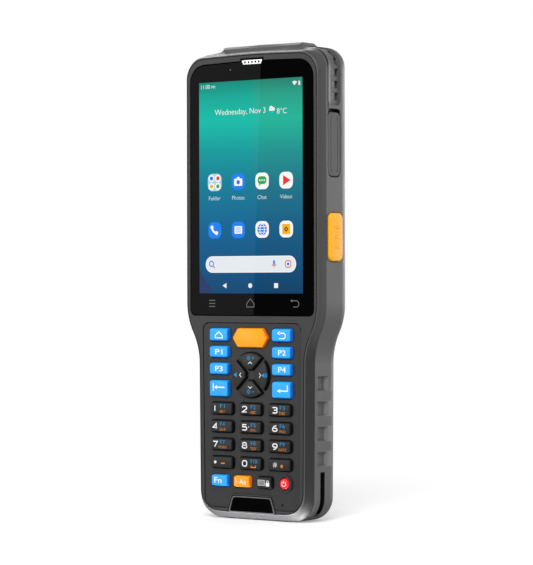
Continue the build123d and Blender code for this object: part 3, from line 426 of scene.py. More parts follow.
def brushed(name, colour, roughness=0.3):
    """Metal with fine brushing."""
    def paint(start):
        stretch = start.node("Mapping", inputs={"Vector": place_on(start), "Scale": brush_stretch})
        lines = start.node("TexNoise", inputs={"Vector": stretch, "Scale": 1.0, "Detail": 2.0})
        return start.node("BsdfPrincipled", inputs={
            "Base Color": colour,
            "Metallic": 1.0,
            "Roughness": lines * brush_spread + (roughness - brush_spread / 2),
        })
    return new_finish(name, paint)


polished("cover_glass", coated_black, coated_gloss, roughness=0.0, film_spread=0.004)
plate_black = polished("plate_black", coated_black, coated_gloss, roughness=0.0, film_spread=0.004)
polished("lens_glass", (0.004, 0.004, 0.006, 1.0), specular=0.5)
polished("window_dark", (0.012, 0.001, 0.001, 1.0), specular=0.4)
polished("flash_white", (0.75, 0.72, 0.5, 1.0), specular=0.5, roughness=0.2)
brushed("frame_alloy", linear(176, 178, 182))
brushed("screw_steel", linear(120, 120, 122))
brushed("port_steel", linear(186, 186, 188), roughness=0.25)
brushed("contact_gold", linear(224, 180, 96), roughness=0.25)
print("finishes with glass and metal", len(finishes))

# %% [markdown]
# ## Dress the CAD nodes
# Each node gets the finish of its material slot in the record, so a stranger who reads the record
# finds the same finishes in the render. The display module hides behind its picture and takes the
# plain black of the inner pieces.

# %% Finishes on the nodes
for part in frame["record"]["subparts"]:
    node = nodes[part["node"]]
    finish = finishes.get(part["material_slot"], inner_black)
    if not node.material_slots:
        node.data.materials.append(finish)
    for material_slot in node.material_slots:
        material_slot.material = finish

# %% [markdown]
# ## Flat shapes for print
# Print on keys and pictures on a display are flat shapes with crisp edges. Each is a thin solid: an
# outline filled in the plane of the front, then given a hair of thickness. An image would blur when
# the camera comes near, and geometry doesn't. Outlines are drawn in millimetres, across from the
# terminal's middle and up from its foot.

# %% Thin solids
print_thickness = 0.03 * mm
weld = 0.001 * mm


def moved(faces, centre):
    """Outlines drawn round zero, put round another point."""
    return [[(x + centre[0], z + centre[1]) for x, z in outline] for outline in faces]


def solid_from_faces(name, faces, front_y, finish, body, slot_name):
    """Outlines made into a thin solid whose face lies at front_y."""
    mesh = bmesh.new()
    for outline in faces:
        corners = [mesh.verts.new((x * mm, front_y, z * mm)) for x, z in outline]
        mesh.faces.new(corners)
    bmesh.ops.remove_doubles(mesh, verts=mesh.verts, dist=weld)
    bmesh.ops.recalc_face_normals(mesh, faces=mesh.faces)
    grown = bmesh.ops.extrude_face_region(mesh, geom=list(mesh.faces))
    for vertex in [item for item in grown["geom"] if isinstance(item, bmesh.types.BMVert)]:
        vertex.co.y += print_thickness
    bmesh.ops.recalc_face_normals(mesh, faces=mesh.faces)
    data = bpy.data.meshes.new(name)
    mesh.to_mesh(data)
    mesh.free()
    settle(bpy.data.objects.new(name, data), finish, body, slot_name)


def settle(piece, finish, body, slot_name):
    """Puts a finished piece into the scene, on its body. Its slot name is not used."""
    bpy.context.scene.collection.objects.link(piece)
    piece.data.materials.clear()
    piece.data.materials.append(finish)
    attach(piece, body)


print("print is", round(print_thickness / mm, 3), "mm thick")

# %% [markdown]
# The outlines come from a few helpers for rings, arcs, rectangles and tiles. Lines are drawn as
# ribbons whose two sides are mitred at each corner, so no quads overlap. A limit keeps the mitre of a
# sharp corner from growing into a long point.

# %% Outlines and ribbons
tile_arcs = ((0, 1, 1), (90, -1, 1), (180, -1, -1), (270, 1, -1))
tile_steps = 7
mitre_limit = 0.35


def ring_of(centre, radius, count=32, stretch=1.0):
    """Points round a circle, or an ellipse that is taller by stretch."""
    x, z = centre
    return [(x + radius * math.cos(2 * math.pi * n / count),
             z + radius * stretch * math.sin(2 * math.pi * n / count)) for n in range(count)]


def arc_points(centre, radius, start, end, count=12):
    """Points along an arc, in degrees from the right."""
    x, z = centre
    turns = [math.radians(start + (end - start) * n / count) for n in range(count + 1)]
    return [(x + radius * math.cos(a), z + radius * math.sin(a)) for a in turns]


def rectangle(centre, width, height):
    """The four corners of an upright rectangle."""
    corners = ((-1, -1), (1, -1), (1, 1), (-1, 1))
    return [(centre[0] + x * width / 2, centre[1] + z * height / 2) for x, z in corners]


def tile_outline(centre, width, height, corner):
    """A rectangle with round corners."""
    points = []
    for turn, side_x, side_z in tile_arcs:
        spot = (centre[0] + side_x * (width / 2 - corner), centre[1] + side_z * (height / 2 - corner))
        points += arc_points(spot, corner, turn, turn + 90, tile_steps)
    return points


def ribbon(points, width, closed=False):
    """Quads along a line, with mitred corners."""
    count = len(points)
    sides = []
    for n, here in enumerate(points):
        before = points[n - 1] if n or closed else None
        after = points[(n + 1) % count] if n + 1 < count or closed else None
        arms = []
        if before:
            arms.append(Vector((here[0] - before[0], here[1] - before[1])).normalized())
        if after:
            arms.append(Vector((after[0] - here[0], after[1] - here[1])).normalized())
        along = sum(arms, Vector((0, 0))).normalized()
        reach = width / 2 / max(mitre_limit, along.dot(arms[0]))
        across = Vector((-along.y, along.x)) * reach
        sides.append(((here[0] + across.x, here[1] + across.y), (here[0] - across.x, here[1] - across.y)))
    steps = count if closed else count - 1
    return [[sides[n][0], sides[n][1], sides[(n + 1) % count][1], sides[(n + 1) % count][0]]
            for n in range(steps)]


print("a tile has", len(tile_outline((0, 0), 2, 2, 0.5)), "corners")

# %% [markdown]
# ## The picture on the display
# A lit display gives off its own light, so its finish is emission, not a painted colour. The
# wallpaper is one sheet whose colour runs from teal at the top to deep blue at the foot, by a colour
# ramp over the height, and is a little warmer on the right half. It lies on the glass as a hair-thin
# sheet, as the picture of a bonded panel seems to. It has the gloss of the coated glass, so the
# reflection runs on across the picture.

# %% Display finishes
glass_low, glass_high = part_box("touch_glass")
glass_front = glass_low.y
display_low, display_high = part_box("display_module")
side_margin = 1.4
end_margin = 1.6
display_half = (display_high.x - display_low.x) / 2 / mm - side_margin
display_floor = display_low.z / mm + end_margin
display_roof = display_high.z / mm - end_margin
drift_share = 0.05
left_tint, right_tint = (0.05, 1.0, 1.0, 1.0), (1.0, 0.92, 0.84, 1.0)
tint_end = 6 * mm


def glow(start, colour, strength):
    """Emission under the gloss of coated glass."""
    return start.node("BsdfPrincipled", inputs={
        "Base Color": (0.001, 0.001, 0.001, 1.0),
        "Roughness": 0.0,
        "Specular IOR Level": coated_gloss,
        "Emission Color": colour,
        "Emission Strength": strength,
    })


def lit(name, colour, strength=1.0):
    """The finish of a glowing shape behind coated glass."""
    def paint(start):
        return glow(start, colour, strength)
    return new_finish(name, paint)


def wallpaper_paint(start):
    """Blue to teal up the display, a little warmer to the right."""
    place = place_on(start)
    across, _, height = parts_of(place)
    level = start.node("MapRange", inputs={
        "Value": height, "From Min": display_floor * mm, "From Max": display_roof * mm})
    drift = start.node("TexNoise", inputs={"Vector": place, "Scale": 18.0, "Detail": 1.0})
    colour = start.node("ValToRGB", {"stops": [
        (0.0, linear(19, 70, 115)),
        (0.15, linear(22, 84, 132)),
        (0.32, linear(27, 99, 146)),
        (0.52, linear(34, 124, 149)),
        (0.66, linear(36, 152, 155)),
        (0.82, linear(38, 188, 167)),
        (0.93, linear(44, 168, 149)),
        (1.0, linear(42, 138, 122)),
    ]}, {0: level + (drift - 0.5) * drift_share})
    right = start.node("MapRange", inputs={"Value": across, "From Min": 0.0, "From Max": tint_end})
    tinted = start.node("Mix", {"data_type": "RGBA", "blend_type": "MULTIPLY"},
                        {mix_share: 1.0, mix_first: colour, mix_second: right.mix(left_tint, right_tint)},
                        mix_result)
    return glow(start, tinted, 1.0)


wallpaper_finish = new_finish("wallpaper", wallpaper_paint)
white_light = lit("white_light", linear(250, 250, 250), 0.9)
tile_white = lit("tile_white", linear(250, 250, 250))
tile_blue = lit("tile_blue", linear(26, 128, 240))
tile_grey = lit("tile_grey", linear(176, 214, 222))
glyph_red = lit("glyph_red", linear(232, 60, 48))
glyph_green = lit("glyph_green", linear(52, 168, 92))
glyph_yellow = lit("glyph_yellow", linear(250, 178, 20))
glyph_blue = lit("glyph_blue", linear(44, 120, 232))
glyph_dark = lit("glyph_dark", linear(40, 40, 44))
pill_white = lit("pill_white", linear(228, 234, 238))
label_white = lit("label_white", linear(214, 224, 228))
violet = lit("violet", linear(36, 58, 106))
rain_blue = lit("rain_blue", linear(0, 214, 236))
# The grey of the touch signs and the lens dot is a painted light: they glow a little instead of being lit.
icon_grey = lit("icon_grey", linear(128, 128, 130), 0.8)
print("display spans", round(2 * display_half, 2), "by", round(display_roof - display_floor, 2), "mm")

# %% [markdown]
# ## Layers of the picture
# Shapes that share one plane would flicker against each other, so each layer lies a hundredth of a
# millimetre in front of the one under it. The wallpaper comes first, then the app tiles and the
# search bar.

# %% Wallpaper, tiles and search bar
layer_step = 0.012 * mm
sheet_layer, tile_layer, sign_layer, mark_layer, top_layer = 1, 2, 3, 4, 5
picture_slide = -0.4
fold_reach = -18.7
fold_top = 101.8
tile_columns = (-18.16, -6.08, 6.0, 18.0)
upper_row = 137.4
lower_row = 117.8
tile_size = 6.7
tile_corner = 2.3
folder_extra = 0.4
tile_finishes = {(0, 0): tile_grey, (1, 0): tile_blue, (0, 1): tile_blue, (1, 1): tile_blue}
pill_row = 103.8
pill_width, pill_height, pill_edge = 45.4, 6.4, 0.3


def on_glass(name, faces, finish, spot=(0.0, 0.0), layer=sign_layer):
    """Flat shapes drawn round a spot of the display's picture, on one of its layers."""
    middle = (spot[0] + picture_slide, spot[1])
    solid_from_faces(name, moved(faces, middle), glass_front - layer_step * layer, finish,
                     "housing", "display_panel")


display_middle = (0.0, (display_floor + display_roof) / 2)
on_glass("wallpaper", [rectangle(display_middle, 2 * display_half, display_roof - display_floor)],
         wallpaper_finish, layer=sheet_layer)
on_glass("wallpaper_fold", [[(-display_half, display_floor), (fold_reach, display_floor),
                             (-display_half, fold_top)]], violet, layer=tile_layer)
for row, height in enumerate((upper_row, lower_row)):
    for column, across in enumerate(tile_columns):
        size = tile_size + (folder_extra if (column, row) == (0, 0) else 0.0)
        on_glass("tile_%d_%d" % (row, column), [tile_outline((0, 0), size, size, tile_corner)],
                 tile_finishes.get((column, row), tile_white), (across, height), tile_layer)
pill = tile_outline((0.0, pill_row), pill_width, pill_height, pill_height / 2 - 0.05)
on_glass("search_pill", [pill], pill_white, layer=tile_layer)
on_glass("search_pill_edge", ribbon(pill, pill_edge, closed=True), tile_white)
print("tiles", 2 * len(tile_columns))

# %% [markdown]
# Each app icon is a plain sign of what the app does. The upper row has a folder of four, a camera, a
# speech bubble and a play arrow. Each is drawn round zero from a few outlines and then put on its
# tile.

# %% Icons of the upper row
folder, camera_tile, bubble, play = [(across, upper_row) for across in tile_columns]
folder_spread = 1.65
folder_dots = ((-1, 1, glyph_blue), (1, 1, glyph_red), (-1, -1, glyph_yellow), (1, -1, glyph_green))
for number, (side, up, finish) in enumerate(folder_dots):
    spot = (folder[0] + side * folder_spread, folder[1] + up * folder_spread)
    on_glass("folder_disc_%d" % number, [ring_of((0, 0), 1.45)], tile_white, spot)
    on_glass("folder_dot_%d" % number, [ring_of((0, 0), 0.85)], finish, spot, mark_layer)

on_glass("camera_body", [tile_outline((0, -0.2), 4.2, 3.0, 0.5)], tile_white, camera_tile)
on_glass("camera_hump", [[(-0.8, 1.35), (0.8, 1.35), (0.5, 1.95), (-0.5, 1.95)]], tile_white, camera_tile)
on_glass("camera_lens", [ring_of((0, -0.2), 0.9)], glyph_blue, camera_tile, mark_layer)

on_glass("bubble", [tile_outline((0, 0.3), 4.4, 3.2, 1.3)], glyph_green, bubble)
on_glass("bubble_tail", [[(-1.4, -1.0), (-0.2, -1.0), (-1.5, -2.1)]], glyph_green, bubble)
for number, across in enumerate((-1.1, 0.0, 1.1)):
    on_glass("bubble_dot_%d" % number, [ring_of((across, 0.3), 0.34)], tile_white, bubble, mark_layer)

on_glass("play_arrow", [[(-1.5, -2.1), (2.2, 0), (-1.5, 2.1)]], glyph_red, play)
print("icons of the upper row drawn")

# %% [markdown]
# The lower row has a handset, a note, a globe and a box.

# %% Icons of the lower row
handset, note, globe, box = [(across, lower_row) for across in tile_columns]
handset_line = arc_points((1.15, 1.45), 2.6, 185, 265, 10)
on_glass("handset_grip", ribbon(handset_line, 0.85), tile_white, handset)
for number, end in enumerate((handset_line[0], handset_line[-1])):
    on_glass("handset_end_%d" % number, [ring_of(end, 0.78)], tile_white, handset, mark_layer)

on_glass("note_sheet", [tile_outline((0, 0), 3.9, 3.1, 0.4)], tile_white, note)
for number, up in enumerate((0.8, 0.0, -0.8)):
    on_glass("note_line_%d" % number, [rectangle((0, up), 2.6, 0.28)], tile_blue, note, mark_layer)

globe_reach = 2.25
on_glass("globe_disc", [ring_of((0, 0), 2.4, 48)], glyph_blue, globe)
on_glass("globe_meridian", ribbon(ring_of((0, 0), 1.1, 40, 2.0), 0.3, closed=True), tile_white, globe,
         mark_layer)
for number, up in enumerate((-1.1, 0.0, 1.1)):
    half = math.sqrt(globe_reach ** 2 - up ** 2)
    on_glass("globe_line_%d" % number, ribbon([(-half, up), (half, up)], 0.28), tile_white, globe,
             top_layer)

on_glass("box_square", [tile_outline((0, 0), 3.9, 4.1, 0.25)], glyph_yellow, box)
on_glass("box_mark", ribbon([(-0.8, 0), (0, 0.8), (0.8, 0), (0, -0.8)], 0.42, closed=True),
         glyph_dark, box, mark_layer)
print("icons of the lower row drawn")

# %% [markdown]
# The search bar has a looking glass, a microphone and a lens sign. Under it are the three signs for
# back, home and recent. In the top line are the signal and the battery, and beside the date is a
# cloud with rain.

# %% Bar, navigation and status signs
search = (-19.9, pill_row)
on_glass("search_ring", ribbon(ring_of((0, 0.3), 1.05), 0.42, closed=True), glyph_blue, search)
on_glass("search_handle", ribbon([(0.8, -0.5), (1.7, -1.5)], 0.45), glyph_red, search)
microphone = (11.9, pill_row)
on_glass("microphone_body", [tile_outline((0, 0.6), 0.9, 2.0, 0.44)], glyph_blue, microphone)
on_glass("microphone_yoke", ribbon(arc_points((0, 0.3), 1.05, 200, 340), 0.32), glyph_red, microphone)
on_glass("microphone_stand", ribbon([(0, -0.8), (0, -1.6)], 0.36), glyph_yellow, microphone)
viewer = (18.9, pill_row)
on_glass("viewer_frame", ribbon(tile_outline((0, 0), 2.7, 2.7, 0.9), 0.36, closed=True), glyph_red, viewer)
on_glass("viewer_dot", [ring_of((0, 0), 0.6)], glyph_blue, viewer)

nav_row = 95.15
on_glass("nav_back", [[(-1.0, 0), (1.0, 1.1), (1.0, -1.1)]], white_light, (-13.2, nav_row))
on_glass("nav_home", [ring_of((0, 0), 0.98)], white_light, (-0.1, nav_row))
on_glass("nav_recent", [tile_outline((0, 0), 1.95, 1.95, 0.12)], white_light, (12.9, nav_row))

status_row = 176.1
signal = (22.3, status_row - 0.85)
battery = (24.6, status_row)
on_glass("signal_fan", [[(0, 0)] + arc_points((0, 0), 1.75, 45, 135, 10)], white_light, signal)
on_glass("battery_sign", [tile_outline((0, -0.1), 0.85, 1.6, 0.15)], white_light, battery)
on_glass("battery_cap", [rectangle((0, 0.81), 0.4, 0.22)], white_light, battery)

date_row = 165.6
cloud = (11.0, date_row + 0.7)
on_glass("cloud_left", [ring_of((-0.35, 0.25), 0.95)], white_light, cloud)
on_glass("cloud_right", [ring_of((0.8, -0.1), 0.7)], white_light, cloud, mark_layer)
on_glass("cloud_base", [tile_outline((0, -0.35), 2.9, 0.9, 0.44)], white_light, cloud, top_layer)
for number, across in enumerate((-0.5, 0.35)):
    on_glass("rain_drop_%d" % number, [ring_of((across, -1.5), 0.24, 12, 1.5)], rain_blue, cloud)
print("bar and signs drawn")

# %% [markdown]
# ## Lines round the glass and the housing
# The glass sits in the front housing with a thin gap round it, and the flat front of the housing ends
# before its chamfer. Both lines get a painted shade: a dark ribbon where the shade of the gap and of the
# edge falls. The CAD meshes give both lines: the edges that only one front face uses, walked from corner
# to corner. Each line is then drawn as a ribbon on its own piece, so it follows the piece when the CAD
# model changes.

# %% Gap round the glass and edge of the housing
gap_width = 0.32
edge_line_inset = 0.24
edge_line_width = 0.4


def front_outline(node_name):
    """The tallest closed outline of a node's front face, as points in mm."""
    mesh = bmesh.new()
    mesh.from_mesh(nodes[node_name].data)
    bmesh.ops.remove_doubles(mesh, verts=mesh.verts, dist=weld)
    front = min(vertex.co.y for vertex in mesh.verts)
    faces = {face for face in mesh.faces if all(abs(v.co.y - front) < weld for v in face.verts)}
    rim = [edge for edge in mesh.edges if sum(face in faces for face in edge.link_faces) == 1]
    loops = []
    while rim:
        edge = rim.pop()
        walk = [edge.verts[0], edge.verts[1]]
        while walk[0] != walk[-1]:
            edge = next(e for e in rim if walk[-1] in e.verts)
            rim.remove(edge)
            walk.append(edge.other_vert(walk[-1]))
        loops.append([(vertex.co.x / mm, vertex.co.z / mm) for vertex in walk[:-1]])
    mesh.free()
    return max(loops, key=lambda points: max(z for x, z in points) - min(z for x, z in points))


def inset(outline, distance):
    """An outline moved inwards."""
    quads = ribbon(outline, 2 * distance, closed=True)
    sides = [[quad[side] for quad in quads] for side in (0, 1)]
    return min(sides, key=lambda points: max(x for x, z in points))


glass_line = front_outline("touch_glass")
solid_from_faces("glass_gap", ribbon(glass_line, gap_width, closed=True), glass_front - layer_step,
                 gap_black, "housing", "cover_glass")
housing_line = inset(front_outline("front_housing"), edge_line_inset)
solid_from_faces("housing_edge_line", ribbon(housing_line, edge_line_width, closed=True),
                 rim_y - layer_step, edge_grey, "housing", "front_shell")
print("gap line of", len(glass_line), "points, edge line of", len(housing_line))

# %% [markdown]
# ## Touch signs
# Below the picture, three touch signs are printed on the glass itself in a thin grey line: menu, home
# and back. A small grey dot near the top marks the front camera. Their grey is a painted light: they
# glow a little instead of being lit.

# %% Touch signs on the glass
touch_row = 87.9
touch_line = 0.3
menu_pitch = 1.25
menu_half = 1.575
menu_spot, home_spot, back_spot = (-19.625, touch_row), (-0.05, touch_row), (21.4, touch_row)
camera_drop = 4.2
lens_spot = (-10.0, glass_high.z / mm - camera_drop)


def house(half, foot, eaves, top):
    """The outline of a home sign."""
    return [(-half, foot), (half, foot), (half, eaves), (0, top), (-half, eaves)]


def hook(turn_x, radius, lower_end, upper_end):
    """The line of a back sign: a half turn between a lower and an upper arm."""
    middle = -0.1
    low, high = middle - radius, middle + radius
    return ([(lower_end, low), (turn_x, low)] + arc_points((turn_x, middle), radius, -80, 80)
            + [(turn_x, high), (upper_end, high)])


for number in range(3):
    up = (1 - number) * menu_pitch
    on_glass("menu_line_%d" % number, ribbon([(-menu_half, up), (menu_half, up)], touch_line),
             icon_grey, menu_spot, sheet_layer)
on_glass("home_sign", ribbon(house(1.85, -1.4, 0, 1.9), touch_line, closed=True), icon_grey,
         home_spot, sheet_layer)
on_glass("back_sign", ribbon(hook(1.5, 1.25, 0, -0.8), touch_line), icon_grey, back_spot, sheet_layer)
on_glass("back_arrow", [[(-1.4, 1.15), (-0.5, 1.75), (-0.5, 0.55)]], icon_grey, back_spot, tile_layer)
on_glass("lens_dot", [ring_of((0, 0), 0.3, 20)], icon_grey, lens_spot, sheet_layer)
print("touch signs drawn")

# %% [markdown]
# ## Sound holes of the earpiece
# The earpiece grille has five sound holes, and what the eye sees of such a hole is a black mouth of
# shade. In the CAD grille the walls of the holes are as white as its face, so they would look pale. A
# black disc of painted shade, a little wider than the hole, lies over each one.

# %% Grille mouths
grille_holes = 5
hole_pitch = 1.75
mouth_radius = 0.48


def middle_of(node_name):
    """The middle of a node, across and up, in mm."""
    low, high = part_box(node_name)
    return (low.x + high.x) / 2 / mm, (low.z + high.z) / 2 / mm


grille_x, grille_z = middle_of("earpiece_grille")
grille_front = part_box("earpiece_grille")[0].y - 0.2 * print_thickness
for number in range(grille_holes):
    spot = (grille_x + (number - (grille_holes - 1) / 2) * hole_pitch, grille_z)
    solid_from_faces("grille_mouth_%d" % number, [ring_of(spot, mouth_radius, 24)], grille_front,
                     gap_black, "housing", "grille_white")
print("grille mouths", grille_holes)

# %% [markdown]
# ## Name plate and keypad panel
# The name plate is a bare black plate. The grey rim round it is a painted highlight where its bevel
# catches light, the dark gap round it is a painted shade, and another painted shade runs along the gap
# round the keypad panel. They are drawn as thin solids on the CAD pieces: a face, two ribbons round the
# plate, and one that follows the panel's left side, top and upper right corner. The right side needs
# none, because the rim hides it from the camera. The microphone's hole in the panel gets a black disc of
# painted shade too, as the holes of the grille do.

# %% Name plate and keypad panel
corner_steps = 5
panel_sunk = 0.3 * mm
panel_front = rim_y + panel_sunk - 0.5 * print_thickness
plate_y = rim_y - 0.2 * print_thickness
plate_corner, rim_corner = 0.9, 1.0
microphone_hole = (15.3, 7.0)
microphone_radius = 0.45
plate_outline = [(-11.0, 3.5), (11.0, 3.5), (9.2, 9.1), (-9.2, 9.1)]
rim_outline = [(-11.5, 3.25), (11.5, 3.25), (9.5, 9.4), (-9.5, 9.4)]
gap_line = [(-12.7, 3.4), (-11.6, 4.6), (-10.1, 9.1), (-9.3, 9.8),
            (9.3, 9.8), (10.1, 9.1), (11.6, 4.6), (12.7, 3.4)]
panel_line = [(-13.2, 4.55), (-22.0, 4.55), (-23.6, 6.2), (-23.95, 8.0), (-24.8, 77.2),
              (-24.2, 79.2), (-22.0, 80.05), (22.0, 80.05), (24.2, 79.2), (24.75, 76.5)]
rim_width, plate_gap_width, panel_gap_width = 0.42, 0.26, 0.36


def rounded(points, radius):
    """The same outline with each corner cut back by radius and rounded."""
    curve = []
    for n, here in enumerate(points):
        corner = Vector(here)
        before = corner + (Vector(points[n - 1]) - corner).normalized() * radius
        after = corner + (Vector(points[(n + 1) % len(points)]) - corner).normalized() * radius
        for step in range(corner_steps + 1):
            share = step / corner_steps
            curve.append(tuple(before.lerp(corner, share).lerp(corner.lerp(after, share), share)))
    return curve


solid_from_faces("plate_face", [rounded(plate_outline, plate_corner)], plate_y, plate_black, "housing",
                 "plate_black")
solid_from_faces("plate_rim", ribbon(rounded(rim_outline, rim_corner), rim_width, closed=True),
                 plate_y - 0.5 * print_thickness, rim_grey, "housing", "front_shell")
solid_from_faces("plate_gap", ribbon(gap_line, plate_gap_width), plate_y, gap_black, "housing",
                 "front_shell")
solid_from_faces("panel_gap_line", ribbon(panel_line, panel_gap_width), panel_front, gap_black,
                 "housing", "panel_shell")
solid_from_faces("microphone_mouth", [ring_of(microphone_hole, microphone_radius, 20)], panel_front,
                 gap_black, "housing", "panel_shell")
print("plate rim", rim_width, "mm wide, panel gap", panel_gap_width, "mm")

# %% [markdown]
# ## Lettering
# A text object makes outlines of letters from the built-in font. It is turned to face the front,
# scaled to the height and width that the print has, and turned into a mesh, so every letter is real
# geometry with crisp edges.

# %% Lettering helper
half_depth = 0.5


def lettering(name, words, centre, height, width, front_y, finish, body, slot_name, weight):
    """Words as a thin solid that is height tall and width wide, in mm, round centre."""
    curve = bpy.data.curves.new(name, "FONT")
    curve.body = words
    curve.offset = weight
    curve.resolution_u = 6
    curve.extrude = half_depth
    draft = bpy.data.objects.new(name + "_draft", curve)
    mesh = bpy.data.meshes.new_from_object(draft)
    bpy.data.objects.remove(draft)
    low = Vector((min(v.co.x for v in mesh.vertices), min(v.co.y for v in mesh.vertices)))
    high = Vector((max(v.co.x for v in mesh.vertices), max(v.co.y for v in mesh.vertices)))
    middle = (low + high) / 2
    grow_x = width / (high.x - low.x)
    grow_z = height / (high.y - low.y)
    for vertex in mesh.vertices:
        x, y, depth = vertex.co
        vertex.co = ((centre[0] + (x - middle.x) * grow_x) * mm,
                     front_y + (half_depth - depth) * print_thickness,
                     (centre[1] + (y - middle.y) * grow_z) * mm)
    settle(bpy.data.objects.new(name, mesh), finish, body, slot_name)


print("letters are", round(print_thickness / mm, 3), "mm thick")

# %% [markdown]
# The display has the clock in its top line, the date and the temperature under it, and a word under
# each icon of the upper row. A small negative weight thins the letters.

# %% Words on the display
thin = -0.006
label_row = 130.9
label_height = 1.6


def words_on_glass(name, words, centre, height, width, finish=white_light):
    """Lettering on the display's picture."""
    slid = (centre[0] + picture_slide, centre[1])
    lettering(name, words, slid, height, width, glass_front - layer_step * sign_layer, finish,
              "housing", "display_panel", thin)


words_on_glass("clock_words", "11:00", (-22.8, status_row + 0.55), height=1.6, width=4.6)
words_on_glass("clock_half", "PM", (-18.8, status_row + 0.3), height=1.1, width=1.9)
words_on_glass("date_words", "Wednesday, Nov 3", (-5.1, date_row), height=3.0, width=25.8)
words_on_glass("degree_words", "8°C", (15.95, date_row - 0.25), height=2.3, width=4.9)
for name, words, across, width in (("folder", "Folder", folder[0], 6.0),
                                   ("camera", "Photos", camera_tile[0], 6.2),
                                   ("bubble", "Chat", bubble[0], 4.6),
                                   ("play", "Videos", play[0], 6.0)):
    words_on_glass("label_" + name, words, (across, label_row), label_height, width, label_white)
print("words on the display written")

# %% [markdown]
# ## Key caps
# Keys are moulded with soft edges. The CAD keys have the right form with one small chamfer, so each
# gets a stand-in: a copy of its mesh whose edges are rounded by a Bevel modifier in three steps. The
# copy rides on the key's own body, so it goes down when the key is pressed. The scan triggers are
# rounded in the same way.

# %% Rounded keys
cap_rounding = 0.14 * mm
rounding_steps = 3
flat_enough = math.radians(1.0)
edge_from = math.radians(28)
slot_of = {part["node"]: part["material_slot"] for part in frame["record"]["subparts"]}


def rounded_copy(node_name, name):
    """A copy of a CAD node with softened edges, which stands for that node and rides on its body."""
    mesh = bmesh.new()
    mesh.from_mesh(nodes[node_name].data)
    bmesh.ops.remove_doubles(mesh, verts=mesh.verts, dist=weld)
    bmesh.ops.dissolve_limit(mesh, angle_limit=flat_enough, verts=mesh.verts, edges=mesh.edges)
    data = bpy.data.meshes.new(name)
    mesh.to_mesh(data)
    mesh.free()
    data.shade_smooth()
    piece = bpy.data.objects.new(name, data)
    settle(piece, finishes[slot_of[node_name]], node_name, slot_of[node_name])
    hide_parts(node_name)
    bevel = piece.modifiers.new("soft_edges", "BEVEL")
    bevel.width = cap_rounding
    bevel.segments = rounding_steps
    bevel.limit_method = "ANGLE"
    bevel.angle_limit = edge_from
    bevel.harden_normals = True


key_nodes = [name for name in nodes if name.startswith("key_") and name != "key_membrane"]
for name in key_nodes:
    rounded_copy(name, name.replace("key_", "cap_"))
for name in ("trigger_right", "trigger_left"):
    rounded_copy(name, name + "_cap")
print("rounded", len(key_nodes), "keys and 2 triggers")

# %% [markdown]
# ## Print on the keys
# The number keys carry three prints: a white number, a blue function name and orange letters. Blue
# and orange match the two shift keys that call them, so the colours are part of how the pad works.
# Every print is drawn round the middle of its key and rides on the key. The four arrow keys are cut
# from one ring, so their signs are drawn round the middle of that ring.

# %% Print helpers
print_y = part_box("key_5")[0].y - 0.4 * print_thickness
print_white = moulded("print_white", linear(238, 238, 238), roughness=0.4, depth=0.001 * mm, tone=0.02)
print_blue = moulded("print_blue", linear(4, 142, 200), roughness=0.4, depth=0.001 * mm, tone=0.02)
print_orange = moulded("print_orange", linear(222, 130, 18), roughness=0.4, depth=0.001 * mm, tone=0.02)
arrow_keys = ("right", "up", "left", "down")
sign_middle = {name.replace("key_", ""): middle_of(name) for name in key_nodes}
ring_middle = (sign_middle["up"][0], sign_middle["right"][1])
for key in arrow_keys:
    sign_middle[key] = ring_middle


def on_key(name, words, key, offset, height, width, finish, weight=thin):
    """Lettering on a key's face, beside the key's middle."""
    middle = sign_middle[key]
    centre = (middle[0] + offset[0], middle[1] + offset[1])
    lettering(name, words, centre, height, width, print_y, finish, "key_" + key,
              slot_of["key_" + key], weight)


def sign_on_key(name, faces, key, finish, offset=(0.0, 0.0)):
    """A drawn sign on a key's face, drawn round zero and put beside the key's middle."""
    placed = moved(moved(faces, offset), sign_middle[key])
    solid_from_faces(name, placed, print_y, finish, "key_" + key, slot_of["key_" + key])


print("prints lie round", len(sign_middle), "middles")

# %% [markdown]
# Keypad numbers are wide and open, drawn with one even line. The built-in font is narrower, so each
# number is a few strokes in a box of one by one, drawn as ribbons. A stroke never turns back on
# itself, because a ribbon has no width there.

# %% Numbers
number_size = (2.2, 2.2)
number_line = 0.46
digit_strokes = {
    "0": [[(0.25, 0), (0.75, 0), (1, 0.25), (1, 0.75), (0.75, 1), (0.25, 1), (0, 0.75), (0, 0.25),
          (0.25, 0)]],
    "1": [[(0.45, 0), (0.45, 1)]],
    "2": [[(0, 0.8), (0.2, 1), (0.8, 1), (1, 0.82), (1, 0.6), (0, 0), (1, 0)]],
    "3": [[(0, 1), (0.8, 1), (1, 0.85), (1, 0.66), (0.8, 0.52), (0.3, 0.52)],
          [(0.85, 0.48), (1, 0.36), (1, 0.17), (0.8, 0), (0, 0)]],
    "4": [[(0.75, 0), (0.75, 1), (0, 0.28), (1, 0.28)]],
    "5": [[(0.95, 1), (0.1, 1), (0.1, 0.58), (0.75, 0.6), (1, 0.42), (1, 0.18), (0.8, 0), (0, 0)]],
    "6": [[(0.85, 1), (0.35, 0.9), (0, 0.5), (0, 0.2), (0.2, 0), (0.8, 0), (1, 0.2), (1, 0.38),
          (0.8, 0.56), (0.1, 0.56)]],
    "7": [[(0, 1), (1, 1), (0.35, 0)]],
    "8": [[(0.8, 0.53), (0.92, 0.68), (0.92, 0.85), (0.75, 1), (0.25, 1), (0.08, 0.85), (0.08, 0.68),
          (0.2, 0.53), (0, 0.36), (0, 0.16), (0.2, 0), (0.8, 0), (1, 0.16), (1, 0.36), (0.8, 0.53),
          (0.2, 0.53)]],
    "9": [[(0.15, 0), (0.65, 0.1), (1, 0.5), (1, 0.8), (0.8, 1), (0.2, 1), (0, 0.8), (0, 0.62),
          (0.2, 0.44), (0.9, 0.44)]],
}


